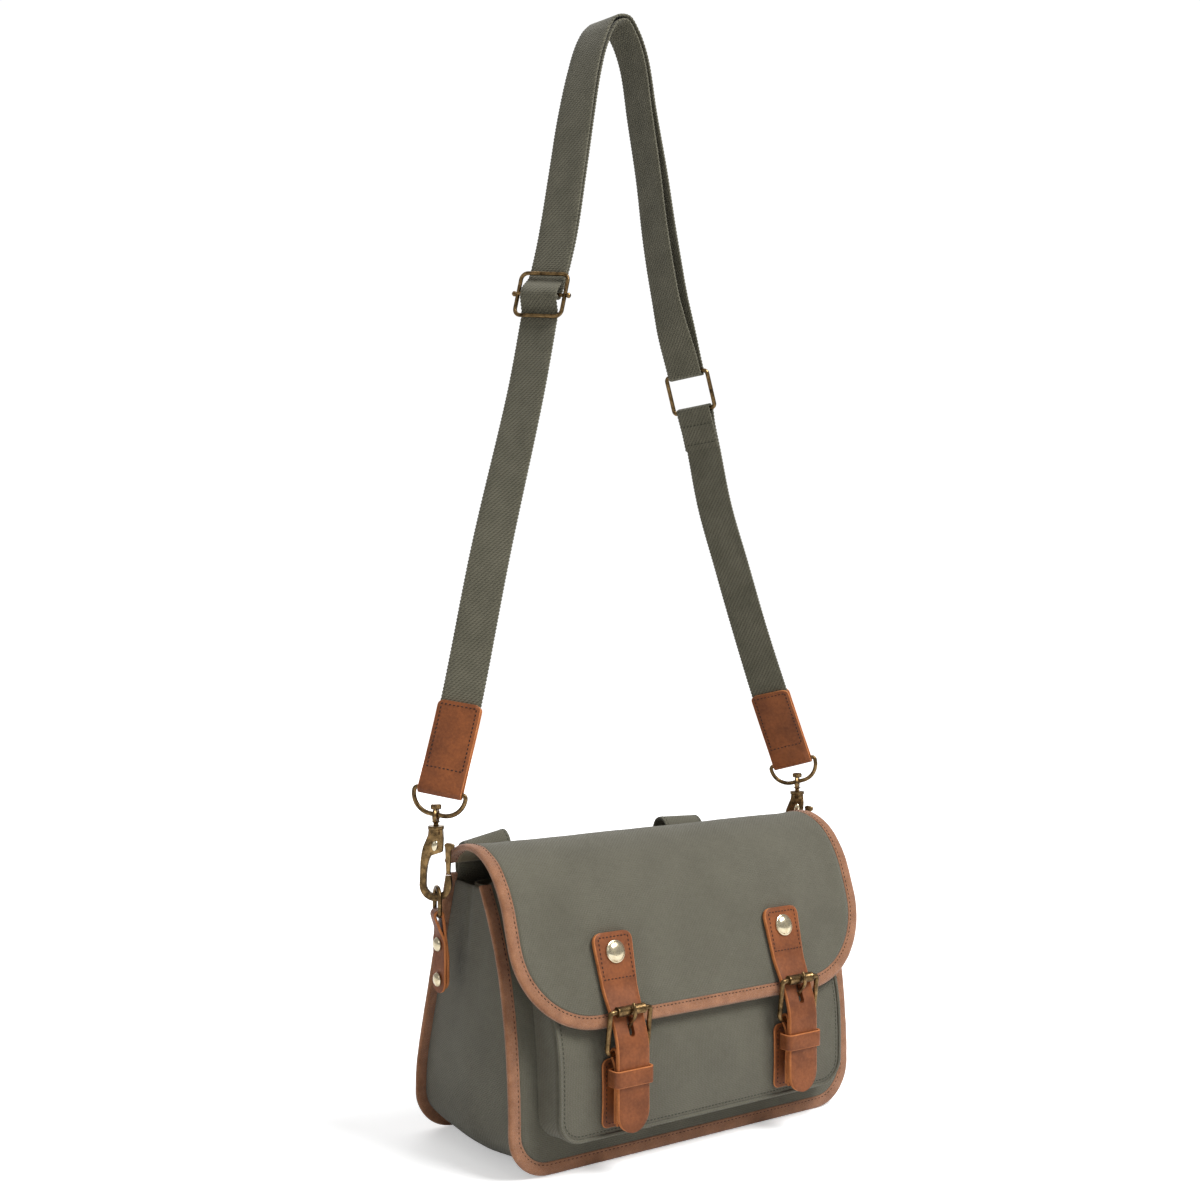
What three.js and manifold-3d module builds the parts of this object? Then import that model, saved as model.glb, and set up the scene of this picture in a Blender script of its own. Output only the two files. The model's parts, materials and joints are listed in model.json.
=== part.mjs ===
// A canvas and leather messenger bag, standing on its two seam bindings with its shoulder strap raised.
// Millimetres, +Z up, the front of the bag faces -Y, and the wearer's strap rises over the middle.
import * as THREE from 'three';
import { mergeVertices } from 'three/addons/utils/BufferGeometryUtils.js';
import Module from 'manifold-3d';

const wasm = await Module();
wasm.setup();

// Driving dimensions
const BAG_OFFSET = { x: 0.69, y: 16.19 }; // puts the origin under the middle of the whole object
const GAP = 0.3; // clearance between touching pieces
const BODY_HALF_WIDTH = 143; // the seam line of the front and back panels
const BINDING_WIDTH = 9;
const BINDING_THICKNESS = 3.5;
const PANEL_THICKNESS = 2.2;
const PANEL_CORNER = 22;
const GUSSET_THICKNESS = 2;
const GUSSET_TOP = 190;
const POCKET_HALF_WIDTH = 129;
const POCKET_CORNER = 18;
const POCKET_BOTTOM = 24;
const POCKET_TOP = 138;
const FLAP_HALF_WIDTH = 156;
const FLAP_CORNER = 62;
const FLAP_PANEL_THICKNESS = 1.6;
const FLAP_LINING_THICKNESS = 1;
const CLOSURE_X = 76; // each closure strap's distance from the middle
const STRAP_LEATHER = 3.2;
const BUCKLE_WIRE = 1.8; // radius
const ROLLER_RADIUS = 3.5;
const HOOK_X = 168; // the strap's hooks hang this far from the middle
const SIDES = [
  { side: 'left', sign: -1, hookY: 7, loopX: -115, loopTilt: 0.23 },
  { side: 'right', sign: 1, hookY: 11, loopX: 62, loopTilt: -0.05 },
];
const LINK_Z = 186; // where each hook hangs on its side ring
// Side view of each back loop, from its upper foot over the top to its lower foot
const LOOP_PATH = [[21.6, 196.4], [22.4, 202.5], [25.2, 209.8], [31, 213.6], [37.6, 211], [41.3, 202.5],
  [40.8, 191], [36.6, 180],
  [31.9, 170], [31.3, 164.6]];
const LOOP_WIDTH = 36;
const WEB_WIDTH = 30;
const WEB_THICKNESS = 1.6;

// Profiles, as (forward-back, height) points from the bottom up
const FRONT_PROFILE = [[-60.8, 0], [-60.8, 12], [-60.8, 25], [-60.3, 53], [-56.4, 95], [-47.7, 136],
  [-35, 168], [-22, 192]];
const BACK_PROFILE = [[64, 0], [64, 14], [64, 28], [61, 57], [45, 112], [31, 158], [18, 200.5]];
const POCKET_PROFILE = [[-80, 24], [-81.5, 50], [-80.5, 80], [-76.8, 100], [-70.8, 118], [-62, 138]];
// the flap's outer face, from the hinge over the top to the front edge
const FLAP_PROFILE = [[18, 201.2], [9.5, 209.5], [-6, 215.5], [-24, 214.5], [-42, 205], [-56, 187],
  [-65, 164], [-72, 140], [-79, 116], [-84.5, 98]];

// Materials
const paint = (color, roughness, metalness = 0) => new THREE.MeshStandardMaterial({ color, roughness,
  metalness });
const canvas = () => paint(0x69685c, 0.85);
const liningCloth = () => paint(0x8a8169, 0.9);
const webbing = () => paint(0x625f50, 0.9);
const suede = () => paint(0xa87c64, 0.8);
const saddleLeather = () => paint(0x925c40, 0.55);
const brass = () => paint(0x8a7348, 0.35, 1);
const paleBrass = () => paint(0xd8cba8, 0.25, 1);
const magnetSteel = () => paint(0xb9b4a6, 0.35, 1);

const V = (x, y, z) => new THREE.Vector3(x, y, z);
const root = new THREE.Group();
const bag = new THREE.Group();
bag.position.set(BAG_OFFSET.x, BAG_OFFSET.y, 0);
root.add(bag);

function piece(name, geometry, material, parent = bag) {
  const mesh = new THREE.Mesh(geometry, material);
  mesh.name = name;
  parent.add(mesh);
  return mesh;
}

// Merged, position-only geometry with its faces pointing out
function closed(geometry) {
  geometry.deleteAttribute('normal');
  geometry.deleteAttribute('uv');
  const merged = mergeVertices(geometry, 1e-3);
  const at = merged.attributes.position;
  const index = merged.index.array;
  const [a, b, c] = [V(), V(), V()];
  let volume = 0;
  for (let i = 0; i < index.length; i += 3) {
    a.fromBufferAttribute(at, index[i]);
    b.fromBufferAttribute(at, index[i + 1]);
    c.fromBufferAttribute(at, index[i + 2]);
    volume += a.dot(b.cross(c));
  }
  if (volume < 0) {
    for (let i = 0; i < index.length; i += 3) {
      [index[i], index[i + 1]] = [index[i + 1], index[i]];
    }
  }
  return merged;
}

function solid(geometry) {
  const merged = closed(geometry);
  const vertProperties = new Float32Array(merged.attributes.position.array);
  const triVerts = new Uint32Array(merged.index.array);
  return new wasm.Manifold(new wasm.Mesh({ numProp: 3, vertProperties, triVerts }));
}

function fromSolid(manifold) {
  const mesh = manifold.getMesh();
  const geometry = new THREE.BufferGeometry();
  geometry.setAttribute('position', new THREE.BufferAttribute(new Float32Array(mesh.vertProperties), 3));
  geometry.setIndex(new THREE.BufferAttribute(new Uint32Array(mesh.triVerts), 1));
  return geometry;
}

// A closed slab: place(a, b, c) puts a and b, 0 to 1 over its face, and c, -0.5 to 0.5 through it
function slab(across, along, place) {
  const box = new THREE.BoxGeometry(1, 1, 1, across, along, 1);
  const at = box.attributes.position;
  for (let i = 0; i < at.count; i += 1) {
    const p = place(at.getX(i) + 0.5, at.getY(i) + 0.5, at.getZ(i));
    at.setXYZ(i, p.x, p.y, p.z);
  }
  return closed(box);
}

// A flat band through frames { p, w, n }: its middle, width direction and face direction
function band(frames, width, thickness) {
  return slab(1, frames.length - 1, (a, b, c) => {
    const f = frames[Math.round(b * (frames.length - 1))];
    const wide = f.width ?? width;
    return f.p.clone().addScaledVector(f.w, (a - 0.5) * wide).addScaledVector(f.n, c * thickness);
  });
}

// A smooth profile in the Y-Z plane, with its place, up direction and outward face direction by height share
function profile(points, facing) {
  const curve = new THREE.SplineCurve(points.map(([y, z]) => new THREE.Vector2(y, z)));
  const length = curve.getLength();
  return {
    length,
    at(s, x) {
      const u = Math.min(Math.max(s / length, 0), 1);
      const p = curve.getPointAt(u);
      const t = curve.getTangentAt(u);
      const n = V(0, -t.y * facing, t.x * facing);
      return { p: V(x, p.x, p.y), up: V(0, t.x, t.y), n };
    },
  };
}

const front = profile(FRONT_PROFILE, 1);
const back = profile(BACK_PROFILE, -1);
const pocket = profile(POCKET_PROFILE, 1);
const flap = profile(FLAP_PROFILE, -1);

// The half width of a panel with rounded bottom corners, at a distance above its bottom edge
function roundedHalfWidth(above, halfWidth, radius) {
  if (above >= radius) return halfWidth;
  return halfWidth - radius + Math.sqrt(Math.max(radius ** 2 - (radius - above) ** 2, 0));
}

// Row heights: even steps of the corner's arc, then even steps up to the top
function rowHeights(bottom, top, radius, arcSteps, straightSteps) {
  const rows = [];
  for (let i = 0; i <= arcSteps; i += 1) {
    rows.push(bottom + radius * (1 - Math.cos((i / arcSteps) * Math.PI / 2)));
  }
  for (let i = 1; i <= straightSteps; i += 1) {
    rows.push(bottom + radius + (top - bottom - radius) * i / straightSteps);
  }
  return rows;
}

// A panel on a profile, from its rows, with rounded bottom corners
function panel(surface, rows, halfWidth, radius, outer, thickness) {
  return slab(1, rows.length - 1, (a, b, c) => {
    const s = rows[Math.round(b * (rows.length - 1))];
    const wide = roundedHalfWidth(s - rows[0], halfWidth, radius);
    const f = surface.at(s, (2 * a - 1) * wide);
    return f.p.addScaledVector(f.n, outer - thickness / 2 + c * thickness);
  });
}

// The U-shaped edge of a panel: down the left side, round the corners and up the right side
function edgeLine(bottom, top, halfWidth, radius, sideSteps = 9, arcSteps = 6, floorSteps = 8) {
  const line = [];
  for (let i = 0; i < sideSteps; i += 1) {
    line.push({ x: -halfWidth, s: top + (bottom + radius - top) * i / sideSteps, nx: -1, ns: 0 });
  }
  for (let i = 0; i <= arcSteps; i += 1) {
    const turn = Math.PI + (i / arcSteps) * Math.PI / 2;
    const [nx, ns] = [Math.cos(turn), Math.sin(turn)];
    line.push({ x: -halfWidth + radius * (1 + nx), s: bottom + radius * (1 + ns), nx, ns });
  }
  for (let i = 1; i < floorSteps; i += 1) {
    line.push({ x: (halfWidth - radius) * (2 * i / floorSteps - 1), s: bottom, nx: 0, ns: -1 });
  }
  const left = line.slice(0, sideSteps + arcSteps + 1).reverse();
  return [...line, ...left.map((e) => ({ x: -e.x, s: e.s, nx: -e.nx, ns: e.ns }))];
}

// Frames along an edge line, offset outward in the panel's own surface
function edgeFrames(surface, line, outward, lift) {
  return line.map((e) => {
    const f = surface.at(e.s + e.ns * outward, e.x + e.nx * outward);
    const w = V(e.nx, 0, 0).addScaledVector(f.up, e.ns).normalize();
    return { p: f.p.addScaledVector(f.n, lift), w, n: f.n };
  });
}

// A closed ring: a section of (outward, sideways) points carried round a flat loop of { x, y, nx, ny }
function ring(loop, section) {
  const torus = new THREE.TorusGeometry(1, 0.5, section.length, loop.length);
  const at = torus.attributes.position;
  for (let j = 0; j <= section.length; j += 1) {
    for (let i = 0; i <= loop.length; i += 1) {
      const e = loop[i % loop.length];
      const [out, side] = section[j % section.length];
      at.setXYZ(j * (loop.length + 1) + i, e.x + e.nx * out, e.y + e.ny * out, side);
    }
  }
  return closed(torus);
}

// A round wire section
function wireSection(radius, sides) {
  return Array.from({ length: sides }, (_, i) => {
    const turn = (i / sides) * 2 * Math.PI;
    return [radius * Math.cos(turn), radius * Math.sin(turn)];
  });
}

const strapSection = (thickness, width) => [
  [thickness / 2, -width / 2], [thickness / 2, width / 2], [-thickness / 2, width / 2],
    [-thickness / 2, -width / 2],
];

// A rounded loop from four corner arcs: radii in the order right-top, left-top, left-bottom, right-bottom
function roundedLoop(halfWidth, halfHeight, radii, steps = 4) {
  const loop = [];
  radii.forEach((radius, quarter) => {
    const [sx, sy] = [[1, 1], [-1, 1], [-1, -1], [1, -1]][quarter];
    for (let i = 0; i <= steps; i += 1) {
      const turn = (quarter + i / steps) * Math.PI / 2;
      const [nx, ny] = [Math.cos(turn), Math.sin(turn)];
      loop.push({ x: sx * (halfWidth - radius) + nx * radius, y: sy * (halfHeight - radius) + ny * radius,
        nx, ny });
    }
  });
  return loop.filter((e, i) => {
    const before = loop[(i + loop.length - 1) % loop.length];
    return Math.hypot(e.x - before.x, e.y - before.y) > 1e-6;
  });
}

// Places a flat loop's own axes: x and y in its plane, at a point
function place(mesh, at, xAxis, yAxis) {
  const z = xAxis.clone().cross(yAxis).normalize();
  const x = xAxis.clone().normalize();
  mesh.quaternion.setFromRotationMatrix(new THREE.Matrix4().makeBasis(x, z.clone().cross(x), z));
  mesh.position.copy(at);
  return mesh;
}

// A disc or dome, turned about its own Z
const turned = (points, sides = 20) => closed(
  new THREE.LatheGeometry(points.map(([r, z]) => new THREE.Vector2(r, z)), sides).rotateX(Math.PI / 2),
);

// ---- The bag's body ----
const panelBottom = BINDING_WIDTH + GAP;
const panelTop = { front: front.length - 1.5, back: back.length - 1 };
const seamTop = { front: front.length - 3, back: back.length - 9 };

function bodyPanels() {
  const frontRows = rowHeights(panelBottom, panelTop.front, PANEL_CORNER, 6, 11);
  const backRows = rowHeights(panelBottom, panelTop.back, PANEL_CORNER, 6, 11);
  const half = PANEL_THICKNESS / 2;
  piece('front_panel', panel(front, frontRows, BODY_HALF_WIDTH, PANEL_CORNER, half, PANEL_THICKNESS),
    canvas());
  piece('back_panel', panel(back, backRows, BODY_HALF_WIDTH, PANEL_CORNER, half, PANEL_THICKNESS),
    canvas());
}

function seamBinding(name, surface, top) {
  const line = edgeLine(panelBottom, top, BODY_HALF_WIDTH, PANEL_CORNER);
  const frames = edgeFrames(surface, line, GAP + BINDING_WIDTH / 2, 0);
  piece(name, band(frames, BINDING_WIDTH, BINDING_THICKNESS), suede());
}

// The gusset runs round the sides and bottom between the two bindings, and bellies out between them
function gusset() {
  const behind = BINDING_THICKNESS / 2 + GAP;
  const bottomSag = 6;
  const sideBelly = 7;
  const lineOf = (surface, top) => edgeFrames(surface,
    edgeLine(panelBottom, top, BODY_HALF_WIDTH, PANEL_CORNER), 1, -behind);
  const near = lineOf(front, Math.min(front.length - 5, GUSSET_TOP + 2));
  const far = lineOf(back, back.length - 14);
  const across = 4;
  const last = near.length - 1;
  const geometry = slab(across, last, (a, b, c) => {
    const i = Math.round(b * last);
    const p = near[i].p.clone().lerp(far[i].p, a);
    const out = near[i].w.clone().add(far[i].w).normalize();
    const down = Math.max(-out.z, 0);
    const rise = Math.min(p.z / GUSSET_TOP, 1);
    const belly = Math.sin(Math.PI * a) * (bottomSag * down
      + sideBelly * (1 - down) * Math.sin(Math.PI * rise ** 0.8));
    return p.addScaledVector(out, belly + (c - 0.5) * GUSSET_THICKNESS);
  });
  piece('gusset', geometry, canvas());
}

// The lining is an open-topped cup inside the body
function lining() {
  const wall = 1.2;
  const clear = 2.6;
  const floor = 15;
  const levels = [floor, 40, 75, 110, 145, 172, 186];
  const outer = levels.map((z) => new THREE.Vector2(2, z));
  const inner = levels.map((z) => new THREE.Vector2(1, z)).reverse();
  inner[inner.length - 1].y = floor + wall;
  const cup = new THREE.LatheGeometry([new THREE.Vector2(0, floor), ...outer, ...inner,
    new THREE.Vector2(0, floor + wall)], 24);
  const at = cup.attributes.position;
  const depthAt = (surface, z) => {
    let [low, high] = [0, surface.length];
    for (let i = 0; i < 24; i += 1) {
      const middle = (low + high) / 2;
      if (surface.at(middle, 0).p.z < z) low = middle;
      else high = middle;
    }
    return surface.at(low, 0).p.y;
  };
  for (let i = 0; i < at.count; i += 1) {
    const [lx, z, lz] = [at.getX(i), at.getY(i), at.getZ(i)];
    const share = Math.hypot(lx, lz);
    const inset = clear + (share < 1.5 ? wall : 0);
    const [near, far] = [depthAt(front, z) + inset, depthAt(back, z) - inset];
    const corner = Math.min(1, 0.85 + (z - floor) / 200);
    const halfX = (BODY_HALF_WIDTH - 3 - inset) * corner;
    const turn = Math.atan2(lz, lx);
    const boxy = 0.45; // squares the oval off
    const cx = Math.sign(Math.cos(turn)) * Math.abs(Math.cos(turn)) ** boxy;
    const cy = Math.sign(Math.sin(turn)) * Math.abs(Math.sin(turn)) ** boxy;
    const reach = share < 0.5 ? 0 : 1;
    at.setXYZ(i, reach * cx * halfX, (near + far) / 2 + reach * cy * (far - near) / 2, z);
  }
  piece('lining', closed(cup), liningCloth());
}

// ---- The front pocket ----
function frontPocket() {
  const thickness = 1.8;
  const rows = rowHeights(0.5, pocket.length - 0.5, POCKET_CORNER, 5, 8);
  piece('pocket_face', panel(pocket, rows, POCKET_HALF_WIDTH - 3, POCKET_CORNER, 0, thickness), canvas());
  const line = edgeLine(0, pocket.length - 0.5, POCKET_HALF_WIDTH - 3, POCKET_CORNER, 6, 5, 6);
  const face = edgeFrames(pocket, line, 0, -thickness - GAP);
  const geometry = slab(1, line.length - 1, (a, b, c) => {
    const i = Math.round(b * (line.length - 1));
    const near = face[i].p.clone();
    const share = line[i].s / pocket.length;
    const s = POCKET_BOTTOM + (POCKET_TOP - POCKET_BOTTOM + 3) * share;
    const far = front.at(s, line[i].x + line[i].nx * 3);
    far.p.addScaledVector(far.n, PANEL_THICKNESS / 2 + GAP);
    return near.lerp(far.p, a).addScaledVector(face[i].w, (c - 0.5) * thickness);
  });
  piece('pocket_gusset', geometry, canvas());
}

// ---- The flap ----
const flapEdge = flap.length; // the flap's front edge, along its profile from the hinge
const flapSeam = FLAP_HALF_WIDTH - BINDING_WIDTH - GAP;

function flapPanels() {
  const start = 0.6;
  const bindingInner = BINDING_WIDTH + GAP;
  const corner = FLAP_CORNER - bindingInner;
  // rows are measured back from the front edge, so the rounded corners come first
  const rows = rowHeights(bindingInner, flapEdge - start, corner, 7, 13);
  const sheet = (outer, thickness) => slab(1, rows.length - 1, (a, b, c) => {
    const s = rows[Math.round(b * (rows.length - 1))];
    const wide = roundedHalfWidth(s - rows[0], flapSeam, corner);
    const f = flap.at(flapEdge - s, (2 * a - 1) * wide);
    return f.p.addScaledVector(f.n, -outer - thickness / 2 + c * thickness);
  });
  piece('flap_panel', sheet(0, FLAP_PANEL_THICKNESS), canvas());
  piece('flap_lining', sheet(FLAP_PANEL_THICKNESS + GAP, FLAP_LINING_THICKNESS), liningCloth());
}

function flapBinding() {
  const corner = FLAP_CORNER - BINDING_WIDTH;
  const line = edgeLine(BINDING_WIDTH, flapEdge - 1.5, flapSeam + GAP, corner, 13, 9, 8);
  const thickness = 4.2;
  const frames = line.map((e) => {
    const out = BINDING_WIDTH / 2;
    const f = flap.at(flapEdge - e.s - e.ns * out, e.x + e.nx * out);
    const w = V(e.nx, 0, 0).addScaledVector(f.up, -e.ns).normalize();
    return { p: f.p.addScaledVector(f.n, 0.6 - thickness / 2), w, n: f.n };
  });
  piece('flap_binding', band(frames, BINDING_WIDTH, thickness), suede());
}

// ---- The closure straps, with their buckles ----
const ROLLER = { y: -91.9, z: 109.4 };
const HEEL = { y: -88.3, z: 81 };
const STRAP_FACE = -94.6; // the closure strap's middle where it runs through its keeper
const MAGNET_Z = 49;
const KEEPER_Z = 66;
const CLOSURE_RIVET_AT = 0.738; // share of the flap's length from the hinge

function closureStrap(side, x) {
  const lift = GAP + STRAP_LEATHER / 2 + 0.1;
  const onFlap = [0.665, 0.705, 0.745, 0.785, 0.825, 0.865].map((u) => {
    const f = flap.at(u * flapEdge, 0);
    f.p.addScaledVector(f.n, lift);
    return V(0, f.p.y, f.p.z);
  });
  const hanging = [[-86.4, 107.5], [-89.6, 100], [-92.8, 92], [-94.4, 84], [STRAP_FACE, 74],
    [STRAP_FACE, 60],
    [STRAP_FACE, 46], [-94.4, 29]].map(([y, z]) => V(0, y, z));
  const path = new THREE.CatmullRomCurve3([...onFlap, ...hanging], false, 'centripetal');
  const steps = 32;
  const frames = [];
  const tipLength = 15;
  const total = path.getLength();
  const [topWidth, lowWidth] = [33, 26];
  for (let i = 0; i <= steps; i += 1) {
    const tail = steps - i;
    const u = tail <= 4 ? 1 - (tipLength * (1 - Math.cos((tail / 4) * Math.PI / 2))) / total : i / steps;
    const p = path.getPointAt(Math.min(u, 1));
    const t = path.getTangentAt(Math.min(u, 1));
    const taper = THREE.MathUtils.clamp((u - 0.02) / 0.42, 0, 1);
    let width = topWidth + (lowWidth - topWidth) * taper;
    if (tail <= 4) width *= 0.32 + 0.68 * Math.sin((tail / 4) * Math.PI / 2);
    frames.push({ p: V(x, p.y, p.z), w: V(1, 0, 0), n: V(0, t.z, -t.y), width });
  }
  const prongSlot = new THREE.BoxGeometry(4.6, 20, 13).translate(x, -89, 98.5);
  const leather = solid(band(frames, lowWidth, STRAP_LEATHER)).subtract(solid(prongSlot));
  piece(`closure_strap_${side}`, fromSolid(leather), saddleLeather());

  const f = flap.at(CLOSURE_RIVET_AT * flapEdge, x);
  const rivet = turned([[0, 0], [7.6, 0], [7.6, 0.9], [6.2, 2.2], [3.4, 3.1], [0, 3.4]]);
  const seat = f.p.clone().addScaledVector(f.n, lift + STRAP_LEATHER / 2 + GAP);
  place(piece(`closure_rivet_${side}`, rivet, paleBrass()), seat, V(1, 0, 0),
    f.n.clone().cross(V(1, 0, 0)));
}

function buckle(side, x) {
  const heelHalf = 15.5;
  const height = Math.hypot(ROLLER.y - HEEL.y, ROLLER.z - HEEL.z) / 2;
  const loop = roundedLoop(16.6, height, [2.5, 2.5, 4, 4], 3);
  const frame = piece(`buckle_frame_${side}`, ring(loop, wireSection(BUCKLE_WIRE, 8)), brass());
  const tilt = V(0, ROLLER.y - HEEL.y, ROLLER.z - HEEL.z);
  place(frame, V(x, (ROLLER.y + HEEL.y) / 2, (ROLLER.z + HEEL.z) / 2), V(1, 0, 0), tilt);

  const [bore, length] = [BUCKLE_WIRE + GAP, 23];
  const tube = closed(new THREE.LatheGeometry([[bore, -length / 2], [ROLLER_RADIUS, -length / 2],
    [ROLLER_RADIUS, length / 2], [bore, length / 2],
      [bore, -length / 2]].map(([r, h]) => new THREE.Vector2(r, h)), 16)
    .rotateZ(Math.PI / 2));
  piece(`buckle_roller_${side}`, tube, brass()).position.set(x, ROLLER.y, ROLLER.z);

  const prongRadius = 1.2;
  const route = [[HEEL.y + 0.6, HEEL.z + 3.1], [-87.6, 89], [-88.9, 95.5], [-92.6, 101], [-96.8, 106],
    [-97, 111], [-95.2, 114.8]];
  const curve = new THREE.CatmullRomCurve3(route.map(([y, z]) => V(x, y, z)));
  const circle = new THREE.Shape(wireSection(prongRadius, 6).map(([a, b]) => new THREE.Vector2(a, b)));
  const rod = new THREE.ExtrudeGeometry(circle, { steps: 11, extrudePath: curve });
  const eye = ring(roundedLoop(3.25, 3.25, [3.25, 3.25, 3.25, 3.25], 3), wireSection(1.1, 6));
  eye.rotateY(Math.PI / 2).translate(x, HEEL.y, HEEL.z);
  piece(`buckle_prong_${side}`, fromSolid(solid(rod).add(solid(eye))), brass());

  const leather = 2.1;
  const turnRadius = BUCKLE_WIRE + GAP + leather / 2;
  const anchorBottom = 34;
  const points = [[-91.5, anchorBottom], [-91.5, 50], [-91.5, 64], [HEEL.y - turnRadius, 75]];
  for (let i = 0; i <= 6; i += 1) {
    const turn = Math.PI - (i / 6) * Math.PI;
    points.push([HEEL.y + turnRadius * Math.cos(turn), HEEL.z + turnRadius * Math.sin(turn)]);
  }
  points.push([-85.9, 78.4], [-89.1, 72], [-89.1, 50], [-89.1, anchorBottom + 1]);
  const frames = points.map(([y, z], i) => {
    const [before, after] = [points[Math.max(i - 1, 0)], points[Math.min(i + 1, points.length - 1)]];
    const t = V(0, after[0] - before[0], after[1] - before[1]).normalize();
    return { p: V(x, y, z), w: V(1, 0, 0), n: V(0, t.z, -t.y) };
  });
  const slot = new THREE.BoxGeometry(3.6, 14, 13).translate(x, HEEL.y, HEEL.z + 2.2);
  const anchor = solid(band(frames, 23, leather)).subtract(solid(slot));
  piece(`buckle_anchor_${side}`, fromSolid(anchor), saddleLeather());

  const [outerFace, innerFace] = [STRAP_FACE - STRAP_LEATHER / 2 - GAP - 1,
    -89.1 + leather / 2 + GAP + 0.9];
  const halfDepth = (innerFace - outerFace) / 2;
  const keeperLoop = roundedLoop(heelHalf - 0.3, halfDepth, [3, 3, 3, 3], 2);
  const keeper = piece(`keeper_${side}`, ring(keeperLoop, strapSection(1.7, 11)), saddleLeather());
  place(keeper, V(x, (outerFace + innerFace) / 2, KEEPER_Z), V(1, 0, 0), V(0, 1, 0));

  const anchorBack = -89.1 + leather / 2;
  const stud = turned([[0, 0], [6.5, 0], [7, 0.5], [7, 2.2], [0, 2.2]], 18);
  place(piece(`magnet_stud_${side}`, stud, magnetSteel()), V(x, anchorBack + GAP, MAGNET_Z), V(1, 0, 0),
    V(0, 0, -1));
}

// The leather patch on the pocket, with the other half of the magnetic snap
function patch(side, x) {
  const thickness = 1.6;
  const [low, high, half] = [31, 76, 16];
  const rows = rowHeights(low - POCKET_BOTTOM, high - POCKET_BOTTOM, 4, 2, 4);
  const geometry = slab(1, rows.length - 1, (a, b, c) => {
    const s = rows[Math.round(b * (rows.length - 1))];
    const f = pocket.at(s, x + (2 * a - 1) * roundedHalfWidth(s - rows[0], half, 4));
    return f.p.addScaledVector(f.n, GAP + thickness / 2 + c * thickness);
  });
  piece(`pocket_patch_${side}`, geometry, saddleLeather());
  const socket = turned([[0, 0], [7.4, 0], [7.4, 1], [6.6, 1.5], [0, 1.5]], 18);
  const f = pocket.at(MAGNET_Z - POCKET_BOTTOM, x);
  const seat = f.p.addScaledVector(f.n, 2 * GAP + thickness + 0.1);
  place(piece(`magnet_socket_${side}`, socket, magnetSteel()), seat, V(1, 0, 0), V(0, 0, 1));
}

// ---- The side tabs and rings ----
const RING_WIRE = 1.5;
const RING_BAR_Z = LINK_Z - 18.5;
const RING_TURN = THREE.MathUtils.degToRad(72);

// The tab is flat on the gusset, and its loop is turned with the ring that it holds
function sideTab({ side, sign, hookY }) {
  const leather = 1.9;
  const turnRadius = RING_WIRE + GAP + leather / 2;
  const barX = HOOK_X - 1;
  const inner = -3.6; // from the ring's bar
  const points = [[inner - 0.4, 116], [inner - 0.4, 140], [inner, 158]];
  for (let i = 0; i <= 6; i += 1) {
    const turn = Math.PI - (i / 6) * Math.PI;
    points.push([turnRadius * Math.cos(turn), RING_BAR_Z + turnRadius * Math.sin(turn)]);
  }
  points.push([inner + 3.4, 158], [inner + 1.9, 150], [inner + 1.9, 114]);
  const frames = points.map(([out, z], i) => {
    const [before, after] = [points[Math.max(i - 1, 0)], points[Math.min(i + 1, points.length - 1)]];
    const turn = Math.PI / 2 + (RING_TURN - Math.PI / 2) * THREE.MathUtils.smoothstep(z, 148, 162);
    const outward = V(sign * Math.sin(turn), -sign * Math.cos(turn), 0);
    const t = outward.clone().multiplyScalar(after[0] - before[0]).add(V(0, 0,
      after[1] - before[1])).normalize();
    const w = V(Math.cos(turn), Math.sin(turn), 0);
    const ended = i === 0 || i === points.length - 1;
    const width = ended ? 9 : 17 - 4.4 * THREE.MathUtils.smoothstep(z, 148, 160);
    const p = V(sign * barX, hookY, z).addScaledVector(outward, out);
    return { p, w, n: w.clone().cross(t).normalize(), width };
  });
  piece(`side_tab_${side}`, band(frames, 17, leather), saddleLeather());
  [['upper', 147], ['lower', 123]].forEach(([level, z]) => {
    const dome = turned([[0, 0], [4.6, 0], [4.6, 0.6], [3, 1.6], [0, 2]], 12);
    const seat = V(sign * (barX + inner + 1.9 + leather / 2 + 2 * GAP + 0.2), hookY, z);
    place(piece(`side_rivet_${level}_${side}`, dome, paleBrass()), seat, V(0, sign, 0), V(0, 0, 1));
  });

  const height = (LINK_Z - RING_BAR_Z) / 2;
  const loop = roundedLoop(8.6, height, [8, 8, 2.5, 2.5], 3);
  const link = piece(`side_ring_${side}`, ring(loop, wireSection(RING_WIRE, 6)), brass());
  const across = V(Math.cos(RING_TURN), Math.sin(RING_TURN), 0);
  place(link, V(sign * barX, hookY, RING_BAR_Z + height), across, V(0, 0, 1));
}

// ---- The swivel hooks ----
const D_BAR_Z = 252; // the straight bar of each strap ring
const D_DEPTH = 16.5;
const HOOK_TURN = THREE.MathUtils.degToRad(-40);

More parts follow.
